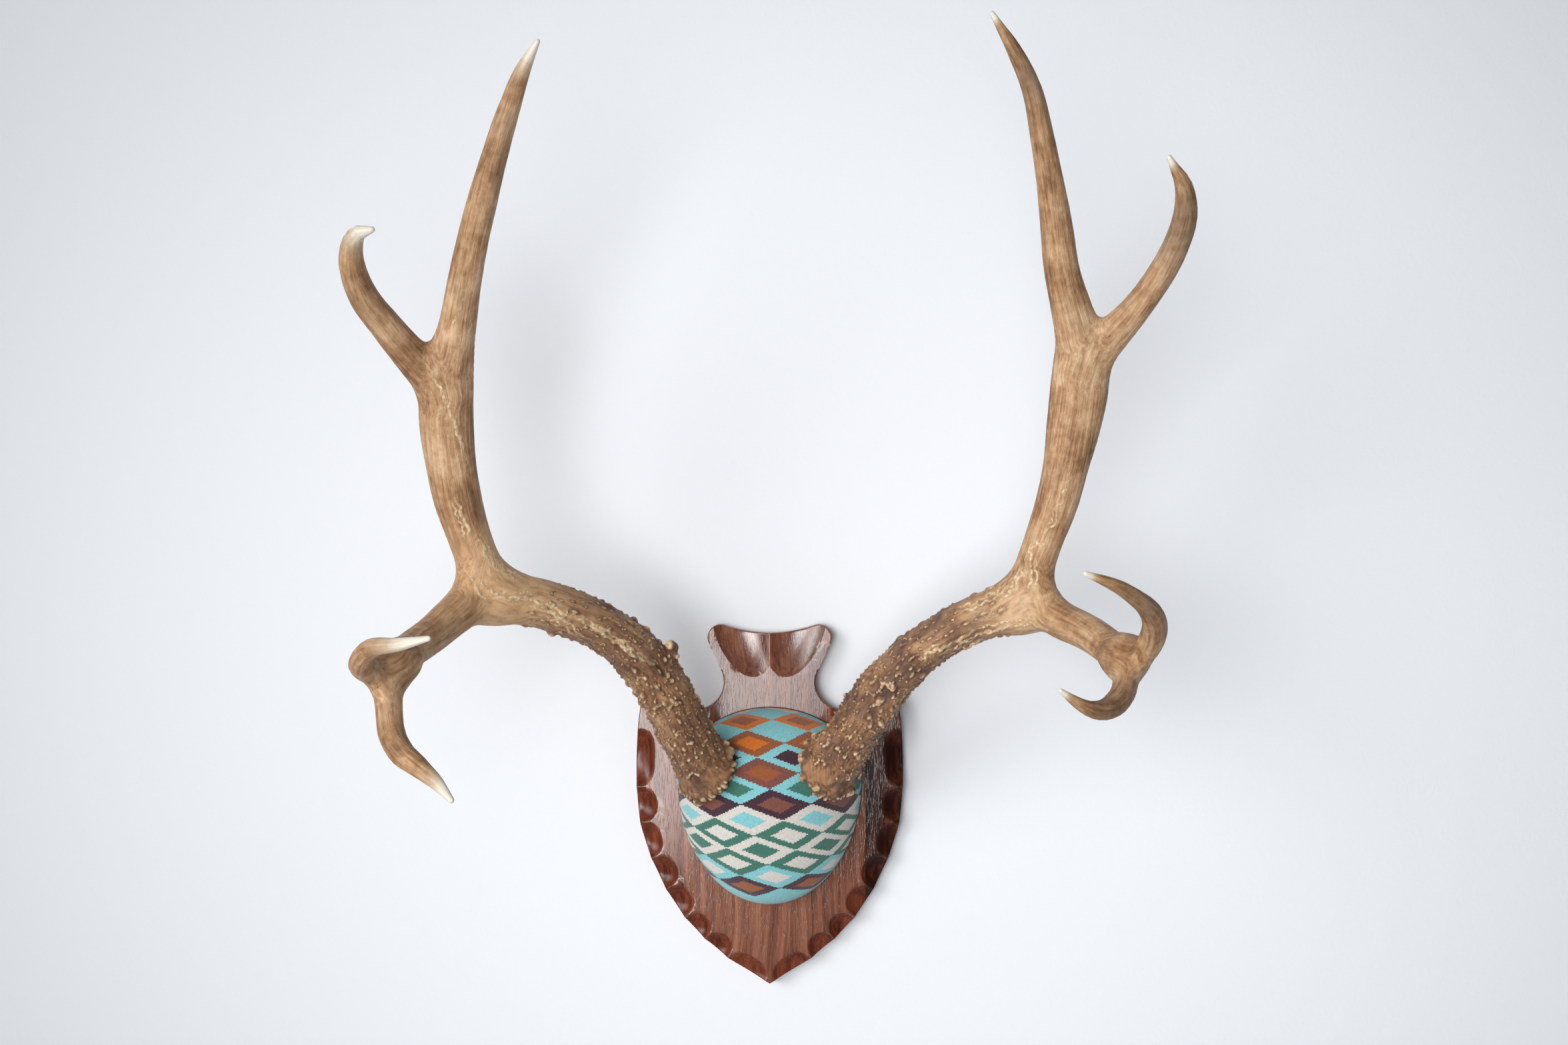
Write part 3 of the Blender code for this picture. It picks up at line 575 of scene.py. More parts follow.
def gouges():
    """Every hollow as (centre, along, half length, reach, depth, squareness)."""
    flank = flank_points(OUTLINE_STEP)
    distances = lengths_along(flank)
    hollows = []
    for start, end, reach, depth, square in SCALLOPS:
        middle = (start + end) / 2 * distances[-1]
        half_length = (end - start) / 2 * distances[-1]
        here, ahead = hermite(flank, distances, np.array([middle, middle + OUTLINE_STEP]))
        hollows.append((here, unit(ahead - here), half_length, reach, depth, square))
    shoulder = np.array([NECK_WIDTH / 2 + NOTCH_RADIUS + SHOULDER_GOUGE_SPAN / 3,
                         SHIELD_TOP - NOTCH_DROP - NOTCH_RADIUS])
    hollows.append((shoulder, np.array([1.0, 0.0]), SHOULDER_GOUGE_SPAN / 1.3,
                    SHOULDER_GOUGE_REACH, SHOULDER_GOUGE_DEPTH, 2.4))
    lean = np.array([math.sin(FLUTE_LEAN), math.cos(FLUTE_LEAN)])
    hollows.append((np.array([FLUTE_SPREAD, SHIELD_TOP]), lean, FLUTE_LENGTH,
                    FLUTE_HALF_WIDTH, FLUTE_DEPTH, 2.0))
    both = []
    for centre, along, *sizes in hollows:
        for side in (1.0, -1.0):
            flip = np.array([side, 1.0])
            both.append((centre * flip, along * flip, *sizes))
    return both


def smooth_greater(a, b, width):
    """The greater of two values, with the corner between them rounded off."""
    overlap = np.clip(1.0 - np.abs(a - b) / width, 0.0, 1.0)
    return np.maximum(a, b) + overlap**2 * width / 4


def hollow_depths(places, hollows):
    """How deep the gouges cut at each place."""
    depth = np.zeros(len(places))
    rim = 1.0 - GOUGE_FLOAT**2
    for centre, along, half_length, reach, deepest, square in hollows:
        offset = places - centre
        u = np.abs(offset @ along) / half_length
        v = np.abs(offset @ np.array([-along[1], along[0]])) / reach
        spread = (u**square + v**square) ** (2.0 / square) * rim
        cap = np.sqrt(np.clip(1.0 - spread, 0.0, 1.0)) - GOUGE_FLOAT
        depth = smooth_greater(depth, cap / (1.0 - GOUGE_FLOAT) * deepest, ARRIS_ROUND)
    return np.where(depth > ARRIS_ROUND / 4, depth - ARRIS_ROUND / 4, 0.0)


def outline_tree(outline):
    """Closely spaced points of the outline, ready to find the nearest of them."""
    following = np.roll(outline, -1, axis=0)
    shares = np.linspace(0.0, 1.0, 6)[:-1]
    spots = np.vstack([between(outline, following, share) for share in shares])
    return tree_of([(x, z, 0.0) for x, z in spots])


def front_heights(places, hollows, edge_tree):
    """How far the shield's front stands off the wall."""
    edge = np.array([edge_tree.find((x, z, 0.0))[2] for x, z in places])
    near = np.clip(edge / EDGE_ROUND, 0.0, 1.0)
    eased = EDGE_ROUND * (1.0 - np.sqrt(1.0 - (1.0 - near) ** 2))
    return SHIELD_THICKNESS - hollow_depths(places, hollows) - eased


def make_shield_mesh():
    outline = shield_outline()
    hollows = gouges()
    edge_tree = outline_tree(outline)
    across = np.arange(SHIELD_LOW.x, SHIELD_HIGH.x, FRONT_GRID)
    up = np.arange(SHIELD_LOW.z, SHIELD_HIGH.z, FRONT_GRID)
    inner = [(x, z) for x in across for z in up if edge_tree.find((x, z, 0.0))[2] > FRONT_GRID / 2]
    count = len(outline)
    ring = list(range(count))
    places, _, faces, *_ = geometry.delaunay_2d_cdt(
        [Vector(point) for point in outline] + [Vector(point) for point in inner],
        [], [ring], 1, 1e-6)
    places = np.array([tuple(place) for place in places])
    faces = np.array([tuple(face) for face in faces])
    heights = front_heights(places, hollows, edge_tree)
    for _ in range(FRONT_PASSES):
        edges, face_edges = unique_edges(faces)
        ends = places[edges]
        span = np.linalg.norm(ends[:, 0] - ends[:, 1], axis=1)
        middles = front_heights(ends.mean(axis=1), hollows, edge_tree)
        bend = np.abs(middles - heights[edges].mean(axis=1))
        wanted = (bend > FRONT_BEND) & (span > FRONT_EDGE * 1.4)
        places, faces = split_edges(places, faces, edges, face_edges, wanted)
        heights = np.concatenate([heights, middles[wanted]])
    return close_shield(places, heights, faces)


def close_shield(places, heights, faces):
    """Adds the side wall and the flat back to the front's triangles."""
    a, b, c = (places[faces[:, k]] for k in range(3))
    turned = (b - a)[:, 0] * (c - a)[:, 1] - (b - a)[:, 1] * (c - a)[:, 0]
    faces = np.where((turned < 0.0)[:, None], faces[:, ::-1], faces)
    following = {}
    arrows = set()
    for face in faces.tolist():
        arrows.update(zip(face, face[1:] + face[:1]))
    for start, end in arrows:
        if (end, start) not in arrows:
            following[start] = end
    loop = [min(following)]
    while following[loop[-1]] != loop[0]:
        loop.append(following[loop[-1]])
    front = [(x, -height, z) for (x, z), height in zip(places, heights)]
    back = [(places[index][0], 0.0, places[index][1]) for index in loop]
    total = len(front)
    walls = []
    for number, index in enumerate(loop):
        after = (number + 1) % len(loop)
        walls.append((index, total + number, total + after, loop[after]))
    flat = [tuple(places[index]) for index in loop]
    _, _, caps, *_ = geometry.delaunay_2d_cdt(
        [Vector(point) for point in flat], [], [list(range(len(flat)))], 1, 1e-7)
    bm = bmesh.new()
    verts = [bm.verts.new(point) for point in front + back]
    for face in faces.tolist():
        bm.faces.new([verts[index] for index in face])
    for wall in walls:
        bm.faces.new([verts[index] for index in wall])
    for cap in caps:
        bm.faces.new([verts[total + index] for index in cap])
    mesh = bpy.data.meshes.new("shield")
    outward_into(bm, mesh)
    mesh.shade_smooth()
    mesh.set_sharp_from_angle(angle=SHIELD_SHARP)
    return mesh


# Boss

def boss_scaled(points, grow=0.0):
    """Points as shares of the boss's half sizes, from the middle of its base."""
    upward = points[:, 2] >= BOSS_WIDEST_HEIGHT
    half = np.where(upward, BOSS_RISE, BOSS_FALL) + grow
    return np.stack([
        points[:, 0] / (BOSS_HALF + grow),
        (BOSS_BASE - points[:, 1]) / (BOSS_DEPTH + grow),
        (points[:, 2] - BOSS_WIDEST_HEIGHT) / half,
    ], axis=1)


def clear_of_boss(points):
    """Moves points that are inside the boss out to just clear of its cloth."""
    size = np.linalg.norm(boss_scaled(points, TOUCH_GAP), axis=1)
    inside = (size < 1.0) & (points[:, 1] < BOSS_BASE)
    middle = np.array([0.0, BOSS_BASE, BOSS_WIDEST_HEIGHT])
    moved = middle + (points - middle) / np.maximum(size, 0.2)[:, None]
    return np.where(inside[:, None], moved, points)


def boss_seat(share_x, share_up):
    """The point of the boss's surface at these shares, and the way that it faces there."""
    x = share_x * BOSS_HALF
    up = share_up * BOSS_RISE
    height = BOSS_DEPTH * math.sqrt(1.0 - share_x**2 - share_up**2)
    point = Vector((x, BOSS_BASE - height, BOSS_WIDEST_HEIGHT + up))
    facing = Vector((x / BOSS_HALF**2, -height / BOSS_DEPTH**2, up / BOSS_RISE**2))
    return point, facing.normalized()


def boss_profile():
    """The dome's rings from base to crown, as shares of its half width and of its depth."""
    tuck, tuck_level = BOSS_TUCK / BOSS_HALF, BOSS_TUCK_DEPTH / BOSS_DEPTH
    rings = [(BOSS_INNER_RING, 0.0), (1.0 - tuck, 0.0)]
    for share in np.arange(1, BOSS_TUCK_RINGS + 1) / BOSS_TUCK_RINGS:
        rings.append((1.0 - tuck * (1.0 - share) ** 2, tuck_level * share))
    first = math.asin(tuck_level)
    for step in range(1, BOSS_RINGS):
        angle = first + (math.pi / 2 - first) * step / BOSS_RINGS
        rings.append((math.cos(angle), math.sin(angle)))
    return np.array(rings).T[:, :, None]


def cloth_lengths(grid, crown):
    """How far each point is from the crown over the cloth, to the right and up."""
    over = np.concatenate([grid, np.broadcast_to(crown, (1, BOSS_SEGMENTS, 3))])
    gaps = np.linalg.norm(np.diff(over, axis=0), axis=2)
    reach = np.cumsum(gaps[::-1], axis=0)[::-1]
    flat = crown - grid
    way = np.arctan2(-flat[:, :, 2], -flat[:, :, 0])
    return np.stack([reach * np.cos(way), reach * np.sin(way), np.zeros_like(reach)], axis=2)


def make_boss_mesh():
    """The dome, with its cloth's own coordinates painted on its points."""
    turns = 2 * math.pi * np.arange(BOSS_SEGMENTS) / BOSS_SEGMENTS
    spreads, levels = boss_profile()
    half = np.where(np.sin(turns) >= 0.0, BOSS_RISE, BOSS_FALL)
    grid = np.stack([
        BOSS_HALF * spreads * np.cos(turns),
        np.broadcast_to(BOSS_BASE - BOSS_DEPTH * levels, (len(levels), BOSS_SEGMENTS)),
        BOSS_WIDEST_HEIGHT + half * spreads * np.sin(turns),
    ], axis=2)
    crown = np.array([0.0, BOSS_BASE - BOSS_DEPTH, BOSS_WIDEST_HEIGHT])
    points = np.vstack([grid.reshape(-1, 3), crown])
    outward = unit(boss_scaled(points) * np.array([1.0, -1.0, 1.0]))
    slack = sum(noise(points, size, seed) * height for size, height, seed in CLOTH_SWELLS)
    level = np.append(np.repeat(levels[:, 0], BOSS_SEGMENTS), 1.0)
    slack *= ease(level, *SLACK_LEVELS)
    points = points + outward * slack[:, None]
    faces = [tuple(range(BOSS_SEGMENTS))]
    rings = np.arange(len(levels) * BOSS_SEGMENTS).reshape(-1, BOSS_SEGMENTS)
    after = np.roll(rings, -1, axis=1)
    for row in range(len(levels) - 1):
        faces += zip(rings[row], after[row], after[row + 1], rings[row + 1])
    faces += [(a, b, len(points) - 1) for a, b in zip(rings[-1], after[-1])]
    mesh = mesh_from("boss", points, faces)
    cloth = cloth_lengths(grid, crown).reshape(-1, 3)
    paint(mesh, "cloth", np.vstack([cloth, np.zeros(3)]))
    outward_faces(mesh)
    mesh.shade_smooth()
    mesh.set_sharp_from_angle(angle=BOSS_SHARP)
    return mesh


def outward_into(bm, mesh):
    """Turns all the faces of a closed form outwards and puts them in the mesh."""
    bmesh.ops.recalc_face_normals(bm, faces=bm.faces)
    if bm.calc_volume(signed=True) < 0.0:
        bmesh.ops.reverse_faces(bm, faces=bm.faces)
    bm.to_mesh(mesh)
    bm.free()


def outward_faces(mesh):
    bm = bmesh.new()
    bm.from_mesh(mesh)
    outward_into(bm, mesh)


# Antlers: the smooth skin over the branches

class Branch:
    """A smooth path of (x, y, z, radius, flatness) rows and what lies along it."""

    def __init__(self, rows, station=0.0, tine=False):
        self.rows = np.array(rows)
        self.places = self.rows[:, :3]
        self.stations = station + lengths_along(self.places)
        self.tip = self.stations[-1] if tine else self.stations[-1] + FAR
        self.headings = unit(np.gradient(self.places, axis=0))
        aside = np.cross(self.headings[0], (0.0, 1.0, 0.0))
        asides = []
        for heading in self.headings:
            aside = unit(aside - heading * (aside @ heading))
            asides.append(aside)
        self.asides = np.array(asides)
        self.others = np.cross(self.headings, self.asides)


class Antler:
    """The branches of one antler and the burr's own place and axis."""

    def __init__(self, tables, height, side, seat):
        point, facing = boss_seat(*seat)
        self.facing = np.array(facing)
        self.centre = np.array(point) + self.facing * BURR_LIFT
        self.side = side
        self.branches = {}
        beam = None
        for name, rows in tables.items():
            placed = []
            for aside, forward, up, radius, flatness in rows:
                place = np.array([side * aside, -forward, up]) * height / 100 + self.centre
                placed.append((*place, radius * height / 100, flatness))
            path = smooth_path(placed, PATH_STEP)
            start = 0.0 if beam is None else beam.stations[-1] * SET_OUT[name]
            self.branches[name] = Branch(path, start, name in TINES)
            beam = beam or self.branches[name]
        root = self.centre - self.facing * (BURR_LIFT + PEDICLE_DEPTH)
        stub = [(*root, PEDICLE_RADIUS, 1.0), (*self.centre, PEDICLE_RADIUS, 1.0), beam.rows[0]]
        self.branches["pedicle"] = Branch(stub)
        self.branches["burr"] = Branch(self.burr_rows())

    def burr_ways(self, turns):
        """The directions out of the burr's axis at these turns."""
        aside = Vector(self.facing).orthogonal().normalized()
        other = Vector(self.facing).cross(aside)
        return np.outer(np.cos(turns), aside) + np.outer(np.sin(turns), other)

    def burr_rows(self):
        turns = np.linspace(0.0, 2 * math.pi, BURR_POINTS)
        spots = self.centre + BURR_RING_RADIUS * self.burr_ways(turns)
        radii = BURR_ROLL_RADIUS * (1.0 + BURR_LUMP_SHARE * np.sin(BURR_LUMPS * turns))
        return np.column_stack([spots, radii, np.ones(len(turns))])

    def nearest(self, points, name):
        """For one branch: the distance outside it, the segment and how far along that."""
        rows = self.branches[name].rows
        distance = np.full(len(points), FAR)
        segment = np.zeros(len(points), int)
        share = np.zeros(len(points))
        low = rows[:, :3].min(axis=0) - CULL_MARGIN
        high = rows[:, :3].max(axis=0) + CULL_MARGIN
        near = np.flatnonzero(np.all((points > low) & (points < high), axis=1))
        for number, (a, b) in enumerate(zip(rows, rows[1:])):
            from_start = points[near] - a[:3]
            line = b[:3] - a[:3]
            t = np.clip(from_start @ line / (line @ line), 0.0, 1.0)
            offset = from_start - t[:, None] * line
            offset[:, 1] /= a[4] + t * (b[4] - a[4])
            gap = np.linalg.norm(offset, axis=1) - (a[3] + t * (b[3] - a[3]))
            nearer = gap < distance[near]
            chosen = near[nearer]
            distance[chosen] = gap[nearer]
            segment[chosen] = number
            share[chosen] = t[nearer]
        return distance, segment, share

    def around(self, points, name):
        """Distance outside one branch, with the way out and traits: heading, station,
        two lengths across and the length left to the tip."""
        branch = self.branches[name]
        distance, segment, share = self.nearest(points, name)
        t = share[:, None]
        row = branch.rows[segment] * (1 - t) + branch.rows[segment + 1] * t
        offset = points - row[:, :3]
        squeeze = 1.0 / row[:, 4]
        out = offset.copy()
        out[:, 1] *= squeeze
        length = np.maximum(np.linalg.norm(out, axis=1), 1e-9)
        out[:, 1] *= squeeze
        out /= length[:, None]
        if name in ("burr", "pedicle"):
            from_centre = points - self.centre
            ways = self.burr_ways(np.array([0.0, math.pi / 2]))
            heading = np.broadcast_to(self.facing, points.shape)
            station = from_centre @ self.facing
            across = from_centre @ ways.T
            left = np.full(len(points), FAR)
        else:
            heading = branch.headings[segment] * (1 - t) + branch.headings[segment + 1] * t
            station = branch.stations[segment] * (1 - share) + branch.stations[segment + 1] * share
            across = np.stack([
                (offset * branch.asides[segment]).sum(axis=1),
                (offset * branch.others[segment]).sum(axis=1),
            ], axis=1)
            left = branch.tip - station
        return distance, np.column_stack([out, heading, station, across, left])

    def blended(self, points):
        """Distance outside the whole antler and the traits, run together at the forks."""
        distance, traits = self.around(points, "beam")
        for name, fillet in FILLETS.items():
            if name not in self.branches:
                continue
            other, other_traits = self.around(points, name)
            overlap = np.clip(1.0 - np.abs(distance - other) / fillet, 0.0, 1.0)
            share = np.where(distance < other, 1.0 - overlap / 2, overlap / 2)[:, None]
            traits = traits * share + other_traits * (1.0 - share)
            distance = np.minimum(distance, other) - overlap**2 * fillet / 4
        return distance, traits

    def onto_skin(self, points, rounds):
        for _ in range(rounds):
            distance, traits = self.blended(points)
            out = traits[:, :3]
            steepness = np.maximum((out**2).sum(axis=1), 0.25)
            points = points - out * (distance / steepness)[:, None]
        return points


def with_round_ends(rows):
    """Carries a path on past both ends, where its surface rounds off."""
    first, second, last, before = rows[0], rows[1], rows[-1], rows[-2]
    starts, ends = [], []
    for step in range(1, END_STEPS + 1):
        turn = math.pi / 2 * step / (END_STEPS + 1)
        for row, inner, group in ((first, second, starts), (last, before, ends)):
            way = unit(row[:3] - inner[:3])
            reach = row[3] * math.sin(turn)
            group.append((*(row[:3] + way * reach), row[3] * math.cos(turn), row[4]))
    return np.array(starts[::-1] + list(rows) + ends)


def tube_into(bm, rows):
    """A closed tube along one branch."""
    branch = Branch(with_round_ends(rows))
    turns = 2 * math.pi * np.arange(TUBE_SIDES) / TUBE_SIDES
    rings = []
    for index, row in enumerate(branch.rows):
        ring = np.outer(np.cos(turns), branch.asides[index])
        ring += np.outer(np.sin(turns), branch.others[index])
        rings.append([bm.verts.new(point) for point in row[:3] + ring * row[3]])
    bm.faces.new(rings[0])
    bm.faces.new(rings[-1])
    for lower, upper in zip(rings, rings[1:]):
        for number in range(TUBE_SIDES):
            after = (number + 1) % TUBE_SIDES
            bm.faces.new((lower[number], lower[after], upper[after], upper[number]))


def rough_skin(antler):
    """Points and triangles of one even skin round all the branches."""
    bm = bmesh.new()
    for branch in antler.branches.values():
        tube_into(bm, branch.rows)
    bmesh.ops.recalc_face_normals(bm, faces=bm.faces)
    mesh = bpy.data.meshes.new("tubes")
    bm.to_mesh(mesh)
    bm.free()
    tubes = add_object("tubes", mesh)
    remesh = tubes.modifiers.new("Run together", "REMESH")
    remesh.mode = "VOXEL"
    remesh.voxel_size = VOXEL
    graph = bpy.context.evaluated_depsgraph_get()
    skin = bpy.data.meshes.new_from_object(tubes.evaluated_get(graph))
    bpy.data.objects.remove(tubes, do_unlink=True)
    skin.calc_loop_triangles()
    points = np.empty(len(skin.vertices) * 3)
    skin.vertices.foreach_get("co", points)
    faces = np.empty(len(skin.loop_triangles) * 3, dtype=np.int32)
    skin.loop_triangles.foreach_get("vertices", faces)
    bpy.data.meshes.remove(skin)
    return points.reshape(-1, 3), faces.reshape(-1, 3).astype(int)


def finer(antler, points, faces, wanted_length):
    """Splits edges that are longer than wanted_length gives for their middles."""
    edges, face_edges = unique_edges(faces)
    ends = points[edges]
    span = np.linalg.norm(ends[:, 0] - ends[:, 1], axis=1)
    wanted = span > wanted_length(ends.mean(axis=1))
    known = len(points)
    points, faces = split_edges(points, faces, edges, face_edges, wanted)
    points[known:] = antler.onto_skin(points[known:], 2)
    return points, faces


# Antlers: pearls, beads and ridges

def pixel_way(across, down):
    """The direction from the camera through a pixel of the photograph."""
    share = SENSOR_MM / LENS_MM / PHOTO_WIDTH
    return Vector(((across - PHOTO_WIDTH / 2) * share, 1.0, (PHOTO_HEIGHT / 2 - down) * share))


def under_pixel(tree, across, down):
    """The point of the skin that this pixel shows, or None."""
    return tree.ray_cast(CAMERA_PLACE, pixel_way(across, down).normalized())[0]


def scattered_pearls(antler, rng):
    """Rows of (x, y, z, radius, height, stretch, paleness), thinning out along the beam.

    Some of the pearls trail off in a chain of smaller ones, which makes a short wandering worm.
    """
    beam = antler.branches["beam"]
    chosen, trails = [], []
    for _ in range(PEARL_TRIES):
        station = PEARL_START + rng.random() * PEARLED_LENGTH
        turn = rng.random() * 2 * math.pi
        size, stretch, keep = rng.random(), rng.random(), rng.random()
        fade = ease(station, PEARL_FADE, PEARLED_LENGTH)
        if keep < fade * PEARL_LOSS:
            continue
        at = np.searchsorted(beam.stations, station)
        way = beam.asides[at] * math.cos(turn) + beam.others[at] * math.sin(turn)
        spot = beam.places[at] + way * beam.rows[at, 3]
        spot = spot + beam.headings[at] * (station - beam.stations[at])
        shrink = 1.0 - PEARL_SHRINK * fade
        radius = between(*PEARL_RADII, size**2.2) * shrink
        gap = PEARL_GAP * (0.75 + 0.5 * size)
        if any(np.linalg.norm(spot - row[:3]) < gap for row in chosen):
            continue
        lengthwise = ease(station, *PEARL_TURNING)
        longer = 1.0 + 0.5 * stretch + 2.0 * stretch * lengthwise
        height = radius * (1.1 + 0.9 * keep) * shrink
        paleness = rng.uniform(*PEARL_PALENESS)
        chosen.append(np.array([*spot, radius, height, longer, paleness]))
        if stretch < WORM_SHARE:
            aside = np.cross(beam.headings[at], way)
            angle = rng.normal(0.0, 1.1 - 0.8 * lengthwise)
            for _ in range(rng.integers(*WORM_BEADS)):
                angle += rng.normal(0.0, WORM_WINDING)
                drift = beam.headings[at] * math.cos(angle) + aside * math.sin(angle)
                spot = spot + drift * radius * WORM_STEP
                thin = radius * rng.uniform(*WORM_THICKNESS)
                trails.append(np.array([*spot, thin, thin * 1.2, 1.2, paleness]))
    return chosen + trails


def burr_beads(antler, rng):
    """Irregular beads in a ragged band round the burr's rim."""
    rows = []
    for number in range(BEADS):
        turn = 2 * math.pi * (number + rng.uniform(-0.5, 0.5)) / BEADS
        way = antler.burr_ways(np.array([turn]))[0]
        lift = rng.uniform(*BEAD_BAND) * BURR_ROLL_RADIUS
        spot = antler.centre + way * (BURR_RING_RADIUS + BURR_ROLL_RADIUS * BEAD_OUT)
        spot = spot + antler.facing * lift
        radius = between(*BEAD_RADII, rng.random() ** 1.6)
        height = radius * rng.uniform(*BEAD_HEIGHT)
        looks = rng.uniform(*BEAD_STRETCH), rng.uniform(*BEAD_PALENESS)
        rows.append(np.array([*spot, radius, height, *looks]))
    return rows


def pixel_pearls(tree, nodules):
    rows = []
    for across, down, radius, stretch in nodules:
        spot = under_pixel(tree, across, down)
        if spot is not None:
            rows.append(np.array([*spot, radius, radius * 1.1, stretch, 1.0]))
    return rows


def ridge_spots(tree, ridges, rng):
    """Close points along each ridge as (x, y, z, half width, height, share along it).

    The wider ridges get a thinner one wandering beside them.
    """
    spots = []
    for half_width, height, pixels in ridges:
        line = smooth_path(pixels, RIDGE_STEP, slice(0, 2))
        ways = unit(np.gradient(line, axis=0))
        asides = np.column_stack([-ways[:, 1], ways[:, 0]])
        strands = [(0.0, 1.0)]
        if half_width >= BUNDLE_FROM:
            strands.append((rng.choice((-1, 1)) * rng.uniform(*BUNDLE_SHIFT), BUNDLE_SHARE))
        for shift, share in strands:
            turns = np.arange(len(line)) * RIDGE_STEP / rng.uniform(*RIDGE_WAVE)
            turns = turns + rng.uniform(0.0, 6.0)
            sway = shift + RIDGE_SWAY * np.sin(turns) * np.sin(turns * 0.37 + 1.0)
            for index, (across, down) in enumerate(line + asides * sway[:, None]):
                spot = under_pixel(tree, across, down)
                if spot is not None:
                    along = index / (len(line) - 1)
                    spots.append((*spot, half_width * share, height * share, along))
    return np.array(spots)


def raise_pearls(points, out, headings, pearls):
    """How high the pearls stand at each point, how pale it gets, and how dark with the painted
    shade round the pearls' feet.
    """
    rise, pale, dark = np.zeros((3, len(points)))
    ring_place, ring_width, darkness = PEARL_SHADE_RING
    tree = tree_of(points)
    for x, y, z, radius, height, stretch, paleness in pearls:
        centre, nearest, distance = tree.find((x, y, z))
        if distance > PEARL_LOST:
            continue
        found = tree.find_range(centre, radius * max(stretch, 1.0) * 2.0)
        chosen = np.array([item[1] for item in found])
        heading = unit(headings[nearest])
        offset = points[chosen] - np.array(centre)
        along = offset @ heading / stretch
        offset = offset - np.outer(offset @ heading, heading)
        reach = np.sqrt(along**2 + (offset**2).sum(axis=1)) / radius
        reach *= 1.0 + PEARL_WOBBLE * noise(points[chosen], radius * 0.9, 5)
        facing = (out[chosen] @ out[nearest]) > 0.2
        bump = np.where(facing, np.clip(1.0 - reach**2, 0.0, 1.0) ** 0.85, 0.0)
        rise[chosen] = np.maximum(rise[chosen], bump * height)
        pale[chosen] = np.maximum(pale[chosen], ease(bump, *PEARL_PALE_FROM) * paleness)
        # Painted shade: a dark ring round the pearl's foot, where its shade would fall on the skin
        ring = np.where(facing, np.exp(-(((reach - ring_place) / ring_width) ** 2)), 0.0)
        dark[chosen] = np.maximum(dark[chosen], ring * darkness)
    return rise, pale, dark


def raise_ridges(points, spots):
    """How high the ridges stand at each point, and how pale it gets."""
    rise, pale = np.zeros((2, len(points)))
    tree = tree_of(points)
    changes = noise(spots[:, :3], RIDGE_BLOTCH, 9)
    widths, heights, palenesses = (
        middle + swing * changes for middle, swing in (RIDGE_WIDTHS, RIDGE_HEIGHTS, RIDGE_PALENESS)
    )
    widths, heights = spots[:, 3] * widths, spots[:, 4] * heights
    for (x, y, z, _, _, share), half_width, height, paleness in zip(
            spots, widths, heights, palenesses):
        found = tree.find_range((x, y, z), half_width)
        chosen = np.array([item[1] for item in found], dtype=int)
        reach = np.array([item[2] for item in found]) / half_width
        taper = math.sin(math.pi * min(max(share, 0.06), 0.94)) ** 0.5
        bump = (1.0 - reach**2) * taper
        rise[chosen] = np.maximum(rise[chosen], bump * height)
        pale[chosen] = np.maximum(pale[chosen], ease(bump, *RIDGE_PALE_FROM) * paleness)
    return rise, pale


def fine_skin(antler, points, faces, pearls, spots):
    """The skin with finer triangles at the pearls, the ridges and the tips."""
    detail = tree_of([row[:3] for row in pearls] + [row[:3] for row in spots])
    tips = np.array([antler.branches[tine].places[-1] for tine in TINES])

    def wanted_length(middles):
        _, traits = antler.around(middles, "beam")
        pearled = (traits[:, 6] < PEARLED_LENGTH) & (traits[:, 6] > -0.02)
        close = np.array([detail.find(middle)[2] for middle in middles]) < DETAIL_REACH
        tip = np.linalg.norm(middles[:, None] - tips, axis=2).min(axis=1) < TIP_LENGTH
        length = np.where(pearled, PEARLED_EDGE, np.where(tip, TIP_EDGE, FAR))
        return np.where(close, FINE_EDGE, length) * SPLIT_ABOVE

    for _ in range(3):
        points, faces = finer(antler, points, faces, wanted_length)
    return points, faces


